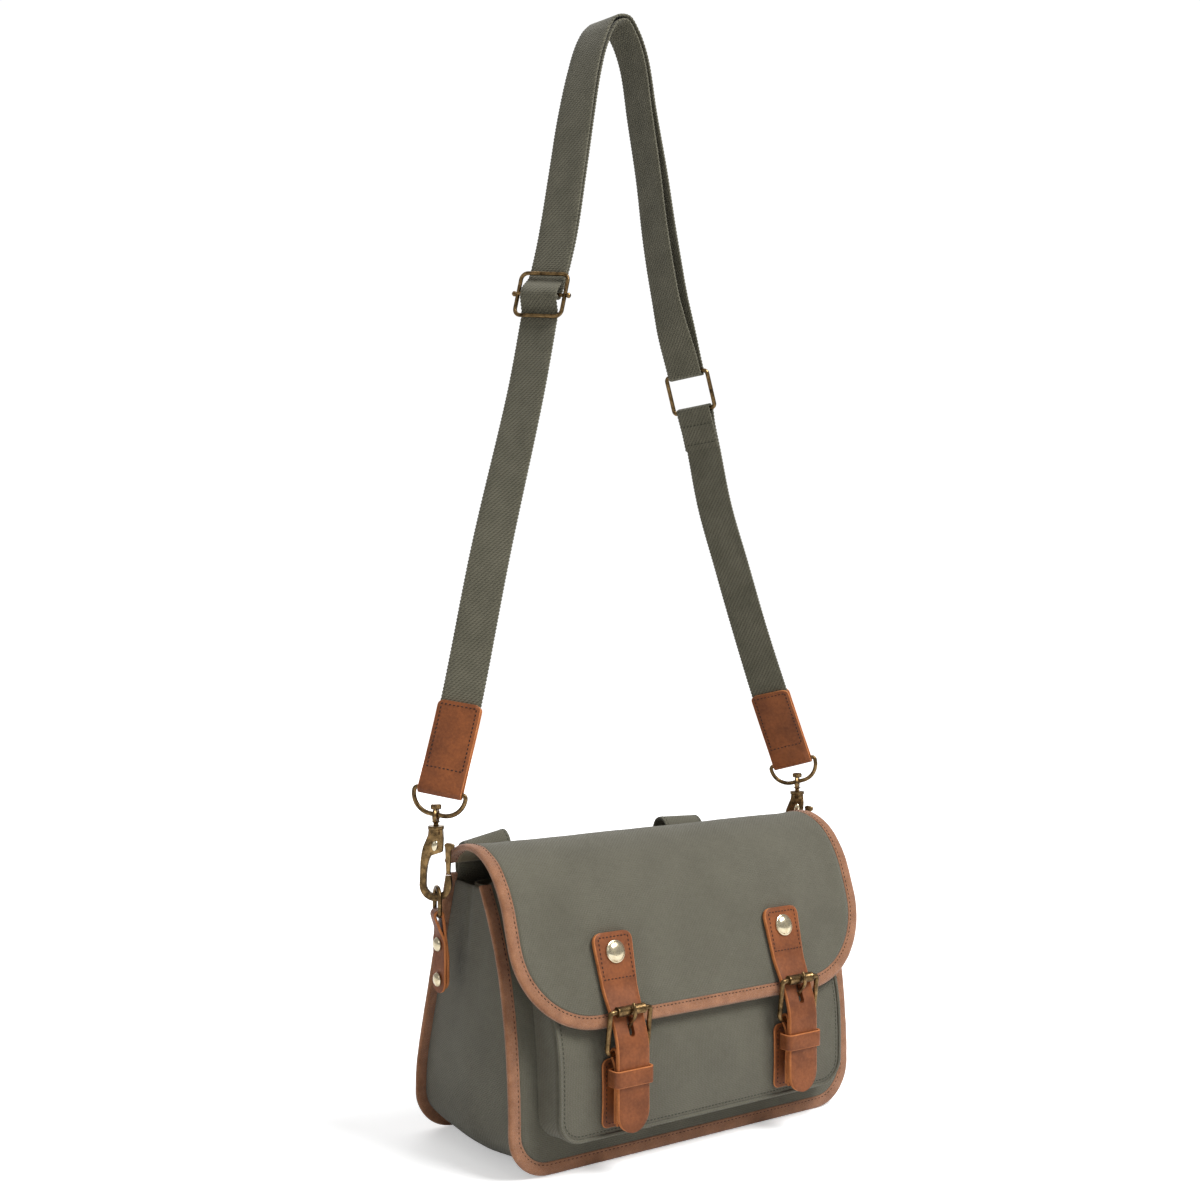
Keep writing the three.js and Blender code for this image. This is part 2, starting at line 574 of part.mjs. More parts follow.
function swivelHook({ side, sign, hookY }) {
  const centre = V(sign * HOOK_X, hookY, 0);
  const across = V(Math.cos(HOOK_TURN), Math.sin(HOOK_TURN), 0);
  const up = V(0, 0, 1);
  const eyeZ = D_BAR_Z - D_DEPTH - 0.6;
  const eyeLoop = roundedLoop(4.3, 4.3, [4.3, 4.3, 4.3, 4.3], 3);
  const eyeRing = ring(eyeLoop, wireSection(1.6, 6)).translate(0, eyeZ, 0);
  const lathe = (points, sides) => new THREE.LatheGeometry(points.map(([r, z]) => new THREE.Vector2(r,
    z)), sides);
  const stem = lathe([[0, eyeZ - 15.5], [1.8, eyeZ - 15.5], [1.8, eyeZ - 4.6], [3.2, eyeZ - 3.6],
    [0, eyeZ - 3.6]], 12);
  const cap = lathe([[0, eyeZ + 4.6], [3.4, eyeZ + 4.6], [3.8, eyeZ + 5.4], [3.8, eyeZ + 7.4],
    [3, eyeZ + 8], [0, eyeZ + 8]], 12);
  const eye = solid(eyeRing).add(solid(stem)).add(solid(cap));
  const eyeMesh = piece(`hook_eye_${side}`, fromSolid(eye), brass());
  const ringWide = strapRoute.frame(sign < 0 ? 0 : 1).w;
  place(eyeMesh, centre, V(-ringWide.y, ringWide.x, 0), up);

  const thickness = 5;
  const bow = LINK_Z + 2;
  const [inside, outside] = [6.6, 11];
  const outline = new THREE.Shape();
  outline.moveTo(4.6, 228);
  outline.lineTo(-4.6, 228);
  outline.lineTo(-5.2, 222);
  outline.lineTo(-8.6, 214);
  outline.quadraticCurveTo(-11, 206, -outside, bow);
  outline.absarc(0, bow, outside, Math.PI, 2 * Math.PI, false);
  outline.lineTo(10.3, bow + 6.2);
  outline.lineTo(6.8, bow + 6.5);
  outline.lineTo(inside, bow);
  outline.absarc(0, bow, inside, 2 * Math.PI, Math.PI, true);
  outline.quadraticCurveTo(-6.6, 203, -3, 208);
  outline.lineTo(4.6, 210.5);
  outline.lineTo(5.2, 219);
  const body = new THREE.ExtrudeGeometry(outline, { depth: thickness, bevelEnabled: false,
    curveSegments: 8 });
  body.translate(0, 0, -thickness / 2);
  const flange = lathe([[0, 222.5], [4.2, 222.5], [4.2, 225.6], [5.6, 226], [5.6, 228.2], [0, 228.2]], 16);
  const bore = lathe([[0, 219], [2.15, 219], [2.15, 231], [0, 231]], 12);
  const hook = solid(body).add(solid(flange)).subtract(solid(bore));
  place(piece(`hook_body_${side}`, fromSolid(hook), brass()), centre, across, up);

  const [pivotH, pivotZ] = [8.3, 214.5];
  const arm = new THREE.Shape();
  arm.moveTo(pivotH - 1.9, pivotZ - 1);
  arm.lineTo(7.2, bow + 8);
  arm.lineTo(9.9, bow + 7);
  arm.lineTo(pivotH + 2.3, pivotZ - 2.5);
  arm.lineTo(12.6, pivotZ - 1.6);
  arm.lineTo(12.8, pivotZ + 0.8);
  arm.lineTo(pivotH + 1.6, pivotZ + 1.9);
  arm.quadraticCurveTo(pivotH - 2.2, pivotZ + 2.6, pivotH - 2.4, pivotZ + 0.4);
  const gate = new THREE.ExtrudeGeometry(arm, { depth: 3.6, bevelEnabled: false, curveSegments: 4 });
  gate.translate(0, 0, -1.8);
  place(piece(`hook_gate_${side}`, closed(gate), brass()), centre, across, up);
}

// ---- The shoulder strap ----
// The strap's middle line from the left hook end to the right one, and the compass turn of its width
const STRAP_LINE = [[2.2 - HOOK_X, 4.8, D_BAR_Z], [-148, 8, 310], [-121, 12, 418], [-91, 13, 532],
  [-75.5, 14, 602],
  [-63.5, 14, 647], [-54.5, 14, 696], [-47.5, 14, 736], [-40.5, 14, 769], [-33, 14, 793],
    [-23.5, 14, 808.5],
  [-13, 14, 813.5], [-3, 14, 805], [6, 14, 786], [14, 14, 746], [23, 14, 703], [30.5, 14, 659],
    [39.5, 14, 616],
  [49.5, 14, 577], [60.5, 14, 541], [71.5, 14, 505], [84, 14, 456], [101, 14, 410], [119, 14, 362],
    [141, 14, 308],
  [HOOK_X - 2.6, 14, D_BAR_Z]];
const WIDTH_TURNS = [[0, 137], [0.12, 134], [0.27, 121], [0.34, 120], [0.4, 116], [0.47, 104], [0.51, 92],
  [0.6, 91],
  [0.67, 95], [0.715, 110], [0.765, 111], [0.88, 118], [1, 133]];

const strapRoute = (() => {
  const curve = new THREE.CatmullRomCurve3(STRAP_LINE.map(([x, y, z]) => V(x, y, z)), false, 'centripetal');
  curve.arcLengthDivisions = 1200;
  const length = curve.getLength();
  const turnAt = (u) => {
    const next = Math.max(1, WIDTH_TURNS.findIndex(([at]) => at >= u));
    const [[u0, a0], [u1, a1]] = [WIDTH_TURNS[next - 1], WIDTH_TURNS[next]];
    const share = THREE.MathUtils.smoothstep(u, u0, u1);
    return THREE.MathUtils.degToRad(a0 + (a1 - a0) * share);
  };
  const frame = (u) => {
    const at = Math.min(Math.max(u, 0), 1);
    const t = curve.getTangentAt(at);
    const w = V(Math.cos(turnAt(at)), Math.sin(turnAt(at)), 0);
    w.addScaledVector(t, -w.dot(t)).normalize();
    return { p: curve.getPointAt(at), t, w, n: t.clone().cross(w).normalize() };
  };
  return { length, frame };
})();

// A frame at a distance along the strap, lifted off its middle line, outward when positive
function strapAt(distance, lift, pull = 0) {
  const f = strapRoute.frame(distance / strapRoute.length);
  return { p: f.p.addScaledVector(f.n, lift).addScaledVector(f.t, pull), w: f.w, n: f.n, t: f.t };
}

// Turns round a bar: the far side of the half circle lies along the strap
function wrap(distance, lift, radius, sign, steps = 6) {
  const f = strapAt(distance, lift);
  return Array.from({ length: steps - 1 }, (_, i) => {
    const turn = ((i + 1) / steps) * Math.PI;
    const n = f.n.clone().multiplyScalar(Math.cos(turn)).addScaledVector(f.t, sign * Math.sin(turn));
    return { p: f.p.clone().addScaledVector(n, radius), w: f.w, n };
  });
}

const range = (from, to, step) => {
  const count = Math.max(1, Math.round(Math.abs(to - from) / step));
  return Array.from({ length: count + 1 }, (_, i) => from + (to - from) * i / count);
};
const flip = (f) => ({ ...f, n: f.n.clone().negate() });

const SLIDER_AT = 361; // distances along the strap from the left strap ring
const SLIDER_HALF = 16;
const SLIDER_WIRE = 1.5;
const SLIDER_LIFT = 3.5;
const RING_TOP_AT = strapRoute.length - 324;
const STRAP_RING_HALF = 14.5;
const STRAP_RING_WIRE = 1.6;
const END_LENGTH = 62;
const END_LEATHER = 1.8;

function longWebbing() {
  const overBar = SLIDER_LIFT + SLIDER_WIRE + 2 * GAP + 1.5 * WEB_THICKNESS;
  const hump = (d) => Math.cos(Math.min(Math.abs(d - SLIDER_AT) / SLIDER_HALF, 1) * Math.PI) * 0.5 + 0.5;
  const outerLift = (d) => {
    if (d < SLIDER_AT) return (overBar - 0.1) * hump(d) + 0.1 * THREE.MathUtils.smoothstep(d, 60, 330);
    const apart = 1.3 + 2.6 * THREE.MathUtils.smoothstep(d, SLIDER_AT + 260, SLIDER_AT + 420);
    const settle = THREE.MathUtils.smoothstep(d, SLIDER_AT + 14, SLIDER_AT + 60);
    return (overBar - 0.1) * hump(d) + 0.1 + (apart - 0.1) * settle;
  };
  const turnRadius = STRAP_RING_WIRE + GAP + WEB_THICKNESS / 2;
  const closing = (d) => THREE.MathUtils.smoothstep(d, RING_TOP_AT - 40, RING_TOP_AT - 2);
  const outer = [
    ...range(22, SLIDER_AT - SLIDER_HALF - 4, 22), ...range(SLIDER_AT - SLIDER_HALF,
      SLIDER_AT + SLIDER_HALF, 4),
    ...range(SLIDER_AT + SLIDER_HALF + 6, RING_TOP_AT - 2, 11),
  ].map((d) => strapAt(d, outerLift(d) + (turnRadius - outerLift(d)) * closing(d)
    * (d > SLIDER_AT ? 1 : 0)));
  const innerLift = (d) => {
    const apart = 2.4 + 2.6 * THREE.MathUtils.smoothstep(d, SLIDER_AT + 260, SLIDER_AT + 420);
    const lift = -apart + (-turnRadius + apart) * closing(d);
    const under = SLIDER_LIFT - SLIDER_WIRE - GAP - WEB_THICKNESS / 2;
    return lift + (under - lift) * (1 - THREE.MathUtils.smoothstep(d, SLIDER_AT + 4, SLIDER_AT + 15));
  };
  const inner = range(RING_TOP_AT - 2, SLIDER_AT, 11).map((d) => flip(strapAt(d, innerLift(d))));
  const barTurn = SLIDER_WIRE + GAP + WEB_THICKNESS / 2;
  const around = wrap(SLIDER_AT, SLIDER_LIFT, barTurn, -1).reverse();
  const frames = [...outer, ...wrap(RING_TOP_AT, 0, turnRadius, 1), ...inner, ...around];
  piece('long_webbing', band(frames, WEB_WIDTH, WEB_THICKNESS), webbing());
}

function shortWebbing() {
  const turnRadius = STRAP_RING_WIRE + GAP + WEB_THICKNESS / 2;
  const bar = RING_TOP_AT + 2 * STRAP_RING_HALF;
  const settle = (d) => 1 - THREE.MathUtils.smoothstep(d, bar + 2, bar + 16);
  const tail = range(bar + 30, bar + 2, 7).map((d) => flip(strapAt(d,
    -2.05 - (turnRadius - 2.05) * settle(d))));
  const main = range(bar + 2, strapRoute.length - 22, 12).map((d) => strapAt(d, turnRadius * settle(d)));
  const around = wrap(bar, 0, turnRadius, -1).reverse();
  piece('short_webbing', band([...tail, ...around, ...main], WEB_WIDTH, WEB_THICKNESS), webbing());
}

// A rectangular wire frame lying in the strap's own plane
function strapFrame(name, distance, lift, halfWidth, halfHeight, wire, corner) {
  const f = strapAt(distance, lift);
  const loop = roundedLoop(halfWidth, halfHeight, [corner, corner, corner, corner], 3);
  place(piece(name, ring(loop, wireSection(wire, 8)), brass()), f.p, f.w, f.t);
}

function slider() {
  const halfWidth = WEB_WIDTH / 2 + 4;
  strapFrame('slider_frame', SLIDER_AT, SLIDER_LIFT, halfWidth, SLIDER_HALF, SLIDER_WIRE, 5);
  const barHalf = halfWidth - SLIDER_WIRE - GAP;
  const bar = new THREE.CylinderGeometry(SLIDER_WIRE, SLIDER_WIRE, 2 * barHalf, 10).rotateZ(Math.PI / 2);
  const f = strapAt(SLIDER_AT, SLIDER_LIFT);
  place(piece('slider_bar', closed(bar), brass()), f.p, f.w, f.t);
}

function strapEnd({ side, sign }) {
  const alongStrap = (d) => (sign < 0 ? d : strapRoute.length - d);
  const turnRadius = RING_WIRE + 0.1 + GAP + END_LEATHER / 2;
  const ply = WEB_THICKNESS / 2 + GAP + END_LEATHER / 2;
  const liftAt = (d) => turnRadius + (ply - turnRadius) * THREE.MathUtils.smoothstep(d, 2, 18);
  const stops = [END_LENGTH, 50, 38, 26, 18, 10, 2];
  const outer = stops.map((d) => strapAt(alongStrap(d), liftAt(d)));
  const inner = [...stops].reverse().map((d) => flip(strapAt(alongStrap(d), -liftAt(d))));
  const around = wrap(alongStrap(0), 0, turnRadius, sign < 0 ? -1 : 1);
  piece(`strap_end_${side}`, band([...outer, ...around, ...inner], WEB_WIDTH, END_LEATHER),
    saddleLeather());

  const f = strapAt(alongStrap(0), 0);
  const half = WEB_WIDTH / 2 + 3.4;
  const loop = roundedLoop(half, D_DEPTH / 2, [2.5, 2.5, D_DEPTH - 2.5, D_DEPTH - 2.5], 4);
  const ringPiece = piece(`strap_ring_${side}`, ring(loop, wireSection(RING_WIRE + 0.1, 6)), brass());
  const up = V(0, 0, 1).addScaledVector(f.w, -f.w.z).normalize();
  place(ringPiece, f.p.clone().addScaledVector(up, -D_DEPTH / 2), f.w, up);
}

// Canvas loops that stand up behind the flap, open at their left and right ends
function backLoop({ side, loopX, loopTilt }) {
  const thickness = 1.6;
  const curve = new THREE.CatmullRomCurve3(LOOP_PATH.map(([y, z]) => V(0, y, z)), false, 'centripetal');
  const steps = 20;
  const frames = [];
  for (let i = 0; i <= steps; i += 1) {
    const u = i / steps;
    const tilt = loopTilt * Math.sin(Math.PI * u);
    const w = V(Math.cos(tilt), 0, Math.sin(tilt));
    const p = curve.getPointAt(u).add(V(loopX, 0, 0));
    frames.push({ p, w, n: w.clone().cross(curve.getTangentAt(u)).normalize() });
  }
  piece(`back_loop_${side}`, band(frames, LOOP_WIDTH, thickness), canvas());
}

bodyPanels();
seamBinding('front_binding', front, seamTop.front);
seamBinding('back_binding', back, seamTop.back);
gusset();
lining();
frontPocket();
flapPanels();
flapBinding();
for (const part of SIDES) {
  closureStrap(part.side, part.sign * CLOSURE_X);
  buckle(part.side, part.sign * CLOSURE_X);
  patch(part.side, part.sign * CLOSURE_X);
  sideTab(part);
  swivelHook(part);
  strapEnd(part);
  backLoop(part);
}
longWebbing();
shortWebbing();
slider();
strapFrame('strap_slide_ring', RING_TOP_AT + STRAP_RING_HALF, 0, WEB_WIDTH / 2 + 3.4, STRAP_RING_HALF,
  STRAP_RING_WIRE, 3);

export default root;
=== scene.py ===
"""The looks of a canvas and leather messenger bag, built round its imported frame.

Sizes are in millimetres in the bag's own axes and are laid into the frame in metres: +Z is up and the
front of the bag faces -Y.
"""

import json
import logging
import math
from collections.abc import Callable, Iterable, Sequence
from dataclasses import dataclass, field
from enum import Enum

import bmesh
import bpy
import numpy as np
from mathutils import Matrix, Vector, noise

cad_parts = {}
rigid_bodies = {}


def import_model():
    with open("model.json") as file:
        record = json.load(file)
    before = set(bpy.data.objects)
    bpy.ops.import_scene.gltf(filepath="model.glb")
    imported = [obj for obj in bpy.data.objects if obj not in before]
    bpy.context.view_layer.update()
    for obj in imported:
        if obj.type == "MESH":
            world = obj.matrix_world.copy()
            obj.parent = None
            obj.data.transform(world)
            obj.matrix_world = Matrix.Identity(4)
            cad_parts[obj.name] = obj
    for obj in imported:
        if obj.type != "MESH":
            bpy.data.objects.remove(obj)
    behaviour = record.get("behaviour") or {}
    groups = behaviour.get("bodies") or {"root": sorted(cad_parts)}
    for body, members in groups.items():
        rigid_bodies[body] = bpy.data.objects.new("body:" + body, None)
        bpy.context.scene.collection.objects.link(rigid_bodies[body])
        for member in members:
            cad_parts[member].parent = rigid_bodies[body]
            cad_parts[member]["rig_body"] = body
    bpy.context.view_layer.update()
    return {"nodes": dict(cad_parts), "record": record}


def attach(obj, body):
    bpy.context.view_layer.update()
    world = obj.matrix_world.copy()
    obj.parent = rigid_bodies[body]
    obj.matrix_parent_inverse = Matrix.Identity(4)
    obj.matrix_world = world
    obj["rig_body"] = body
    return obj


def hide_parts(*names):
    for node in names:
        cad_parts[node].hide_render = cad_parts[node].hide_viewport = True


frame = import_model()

LOG = logging.getLogger("messenger_bag")
MM = 0.001
GAP = 0.3
FRONT_FOOT_Y = -60.8
Grid = np.ndarray
Body = str


def bag_origin() -> Grid:
    """Where the bag's own axes start in the frame, in millimetres, from the front foot's place."""
    foot = next(m for m in frame["record"]["mounts"] if m["name"] == "front_seam_foot")
    return np.array([foot["pos_m"][0] / MM, foot["pos_m"][1] / MM - FRONT_FOOT_Y, 0.0])


ORIGIN = bag_origin()


class Spacing(Enum):
    """How a smooth line is spaced between its points."""

    EVEN = "even"
    CENTRED = "centred"


class Side(Enum):
    """The wearer-facing sides of the bag, with each side's sign and where its hook hangs."""

    LEFT = ("left", -1, 7.0, -115.0, 0.23)
    RIGHT = ("right", 1, 11.0, 62.0, -0.05)

    @property
    def word(self) -> str:
        """The side's name."""
        return self.value[0]

    @property
    def sign(self) -> int:
        """-1 on the left and 1 on the right."""
        return self.value[1]

    @property
    def hook_y(self) -> float:
        """How far back the hook hangs."""
        return self.value[2]

    @property
    def loop_x(self) -> float:
        """Where the back loop stands across the bag."""
        return self.value[3]

    @property
    def loop_tilt(self) -> float:
        """How far the back loop's top leans sideways, in radians."""
        return self.value[4]


# Side view of each back loop, from its upper foot over the top to its lower foot
LOOP_PATH = [
    [21.6, 196.4], [22.4, 202.5], [25.2, 209.8], [31, 213.6], [37.6, 211], [41.3, 202.5], [40.8, 191], [36.6, 180],
    [31.9, 170], [31.3, 164.6],
]


# ---- Small vector helpers ----


def unit(v: Grid) -> Grid:
    """The vectors at length one."""
    return v / np.maximum(np.linalg.norm(v, axis=-1, keepdims=True), 1e-12)


def ease(x: Grid | float, low: float, high: float) -> Grid:
    """A smooth step from 0 at low to 1 at high."""
    t = np.clip((np.asarray(x, float) - low) / (high - low), 0, 1)
    return t * t * (3 - 2 * t)


def vec(x: float, y: float, z: float) -> Grid:
    """A point or direction."""
    return np.array([x, y, z], float)


def ripple(points: Grid, size: float, seed: float, stretch: Grid | None = None) -> Grid:
    """Smooth noise between about -1 and 1.

    Args:
        points: places, with the last axis of length 3.
        size: the noise's feature size.
        seed: moves the pattern.
        stretch: multiplies the places, to draw the pattern out.

    Returns:
        One value for each place.
    """
    flat = (points * (1 if stretch is None else stretch)).reshape(-1, 3) / size + seed * 17.31
    return np.array([noise.noise(Vector(p)) for p in flat]).reshape(points.shape[:-1])


class Line:
    """A smooth line through points, read by the distance along it."""

    def __init__(self, points: Sequence, spacing: Spacing = Spacing.CENTRED, steps: int = 40) -> None:
        """Lays the line.

        Args:
            points: what it passes through.
            spacing: even for a profile, centred for a route in space.
            steps: fine steps between two points.
        """
        pts = np.asarray(points, float)
        if spacing is Spacing.EVEN:
            full = np.vstack([pts[0], pts, pts[-1]])
        else:
            full = np.vstack([2 * pts[0] - pts[1], pts, 2 * pts[-1] - pts[-2]])
        rows = []
        t = np.linspace(0, 1, steps, endpoint=False)[:, None]
        for i in range(1, len(full) - 2):
            p0, p1, p2, p3 = full[i - 1 : i + 3]
            if spacing is Spacing.EVEN:
                m1, m2 = (p2 - p0) / 2, (p3 - p1) / 2
            else:
                d0, d1, d2 = (
                    max(float(np.linalg.norm(b - a)), 1e-6) ** 0.5 for a, b in ((p0, p1), (p1, p2), (p2, p3))
                )
                m1 = ((p1 - p0) / d0 - (p2 - p0) / (d0 + d1) + (p2 - p1) / d1) * d1
                m2 = ((p2 - p1) / d1 - (p3 - p1) / (d1 + d2) + (p3 - p2) / d2) * d1
            t2, t3 = t * t, t * t * t
            rows.append(
                p1 * (2 * t3 - 3 * t2 + 1) + m1 * (t3 - 2 * t2 + t) + p2 * (3 * t2 - 2 * t3) + m2 * (t3 - t2)
            )
        self.points = np.vstack([*rows, pts[-1:]])
        steps_long = np.linalg.norm(np.diff(self.points, axis=0), axis=1)
        self.marks = np.concatenate([[0], np.cumsum(steps_long)])
        self.length = float(self.marks[-1])

    def at(self, s: Grid | float) -> Grid:
        """The points at these distances."""
        s = np.clip(np.asarray(s, float), 0, self.length)
        return np.stack(
            [np.interp(s, self.marks, self.points[:, k]) for k in range(self.points.shape[1])], -1
        )

    def along(self, s: Grid | float) -> Grid:
        """The line's directions at these distances."""
        s = np.asarray(s, float)
        return unit(self.at(np.minimum(s + 0.4, self.length)) - self.at(np.maximum(s - 0.4, 0)))


class Profile:
    """A surface that runs straight across the bag and curves up its side view."""

    def __init__(self, points: Sequence, facing: int) -> None:
        """Takes (forward-back, height) points, and 1 or -1 for the side its outer face is on."""
        self.line = Line(points, Spacing.EVEN)
        self.facing = facing
        self.length = self.line.length

    def at(self, s: Grid | float, x: Grid | float) -> tuple[Grid, Grid, Grid]:
        """Reads the surface.

        Args:
            s: distances up the profile.
            x: places across the bag.

        Returns:
            The points, the directions up the surface and the outward directions.
        """
        s, x = np.broadcast_arrays(np.asarray(s, float), np.asarray(x, float))
        p, t = self.line.at(s), self.line.along(s)
        zero = np.zeros_like(x)
        point = np.stack([x, p[..., 0], p[..., 1]], -1)
        up = np.stack([zero, t[..., 0], t[..., 1]], -1)
        out = np.stack([zero, -t[..., 1] * self.facing, t[..., 0] * self.facing], -1)
        return point, up, out


FRONT = Profile(
    [[-60.8, 0], [-60.8, 12], [-60.8, 25], [-60.3, 53], [-56.4, 95], [-47.7, 136], [-35, 168], [-22, 192]], 1
)
BACK = Profile([[64, 0], [64, 14], [64, 28], [61, 57], [45, 112], [31, 158], [18, 200.5]], -1)
POCKET = Profile([[-80, 24], [-81.5, 50], [-80.5, 80], [-76.8, 100], [-70.8, 118], [-62, 138]], 1)
FLAP = Profile(
    [[18, 201.2], [9.5, 209.5], [-6, 215.5], [-24, 214.5], [-42, 205], [-56, 187], [-65, 164], [-72, 140], [-79, 116],
     [-84.5, 98]],
    -1,
)


def edge_line(bottom: float, top: float, half: float, radius: float, pitch: float = 2.5) -> Grid:
    """The U-shaped edge of a panel, down its left side, round its corners and up its right side.

    Args:
        bottom: the lowest edge's distance up the profile.
        top: where the sides end.
        half: half the panel's width.
        radius: the corners' radius.
        pitch: the spacing of the points.

    Returns:
        Rows of (x, s, outward x, outward s).
    """
    rows = [
        (-half, s, -1.0, 0.0) for s in np.linspace(
            top, bottom + radius, max(4, int((top - bottom) / pitch))
        )[:-1]
    ]
    for turn in np.linspace(math.pi, 1.5 * math.pi, max(8, int(radius * 1.6 / pitch))):
        nx, ns = math.cos(turn), math.sin(turn)
        rows.append((-half + radius * (1 + nx), bottom + radius * (1 + ns), nx, ns))
    rows += [(x, bottom, 0.0, -1.0) for x in np.linspace(-half + radius, 0, max(4, int(half / pitch)))[1:]]
    left = np.array(rows)
    return np.vstack([left, (left * [-1, 1, -1, 1])[-2::-1]])


# ---- Mesh building ----


def make_piece(
    name: str, body: Body, points: Grid, faces: list, finishes: Sequence, face_finish: Sequence[int] | None = None,
    uv: Sequence | None = None, sharp: float = 40.0,
) -> bpy.types.Object:
    """Makes a smooth-shaded piece and sets it riding on its body.

    Args:
        name: the piece's name.
        body: the body that it rides on.
        points: its vertices, in millimetres in the bag's axes.
        faces: its faces, as vertex numbers.
        finishes: its materials.
        face_finish: each face's place in finishes.
        uv: each face's list of (u, v) places on the cloth or leather, in metres.
        sharp: edges that bend more than this many degrees shade as sharp.

    Returns:
        The new object.
    """
    mesh = bpy.data.meshes.new(name)
    mesh.from_pydata(((np.asarray(points) + ORIGIN) * MM).tolist(), [], faces)
    for finish in finishes:
        mesh.materials.append(finish)
    if face_finish is not None:
        mesh.polygons.foreach_set("material_index", list(face_finish))
    if uv is not None:
        layer = mesh.uv_layers.new(name="cloth")
        layer.data.foreach_set("uv", np.array([c for face in uv for c in face], float).ravel())
    mesh.validate()
    obj = bpy.data.objects.new(name, mesh)
    bpy.context.scene.collection.objects.link(obj)
    tidy_normals(mesh)
    mesh.shade_smooth()
    mesh.set_sharp_from_angle(angle=math.radians(sharp))
    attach(obj, body)
    LOG.info("%s: %d faces on %s", name, len(mesh.polygons), body)
    return obj


def tidy_normals(mesh: bpy.types.Mesh) -> None:
    """Turns every face outward."""
    bm = bmesh.new()
    bm.from_mesh(mesh)
    bmesh.ops.recalc_face_normals(bm, faces=bm.faces)
    bm.to_mesh(mesh)
    bm.free()


@dataclass
class Shell:
    """A closed sheet of cloth or leather from a grid of points on its outer face."""

    outer: Grid
    normals: Grid
    thickness: float
    place: Grid  # (u, v) in millimetres for each point of the grid
    round_rim: float = 0.35

    def build(self, name: str, body: Body, finishes: Sequence, rim: int = 0, slot: str | None = None,
              inner: Grid | None = None) -> bpy.types.Object:
        """Makes the sheet.

        Args:
            name: the piece's name.
            body: the body that it rides on.
            finishes: the face's material, then the rim's where that differs.
            rim: the rim's place in finishes.
            slot: the record's material slot; not used.
            inner: the inner face's points where it isn't simply the thickness away.

        Returns:
            The new object.
        """
        rows, cols = self.outer.shape[:2]
        under = self.outer - self.normals * self.thickness if inner is None else inner
        border = [(i, 0) for i in range(rows)] + [(rows - 1, j) for j in range(1, cols)]
        border += [(i, cols - 1) for i in range(rows - 2, -1, -1)] + [(0, j) for j in range(cols - 2, 0, -1)]
        ring = np.array([i * cols + j for i, j in border])
        top, low = self.outer.reshape(-1, 3), under.reshape(-1, 3)
        middle = (top + low) / 2
        centre = middle.mean(0)
        away = middle[ring] - np.roll(middle[ring], 1, axis=0)
        away = unit(np.cross(away, (top - low)[ring]))
        away *= np.sign(np.einsum("ij,ij->i", away, middle[ring] - centre))[:, None]
        bulge = middle[ring] + away * self.thickness * self.round_rim
        count = rows * cols
        points = np.vstack([top, low, bulge])
        faces, marks, uvs = [], [], []
        flat = self.place.reshape(-1, 2) * MM
        for i in range(rows - 1):
            for j in range(cols - 1):
                quad = [i * cols + j, i * cols + j + 1, (i + 1) * cols + j + 1, (i + 1) * cols + j]
                faces.append(quad)
                uvs.append(flat[quad])
                faces.append([count + q for q in quad[::-1]])
                uvs.append(flat[quad[::-1]])
                marks += [0, 0]
        total = len(ring)
        for k in range(total):
            a, b = ring[k], ring[(k + 1) % total]
            e, f = 2 * count + k, 2 * count + (k + 1) % total
            for quad, places in (([a, b, f, e], [a, b, b, a]), ([e, f, count + b, count + a], [a, b, b, a])):
                faces.append([int(q) for q in quad])
                uvs.append(
                    flat[places] + [[0, 0], [0, 0], [self.thickness * MM] * 2, [self.thickness * MM] * 2]
                )
                marks.append(rim)
        return make_piece(name, body, points, faces, finishes, marks, uvs, sharp=60)


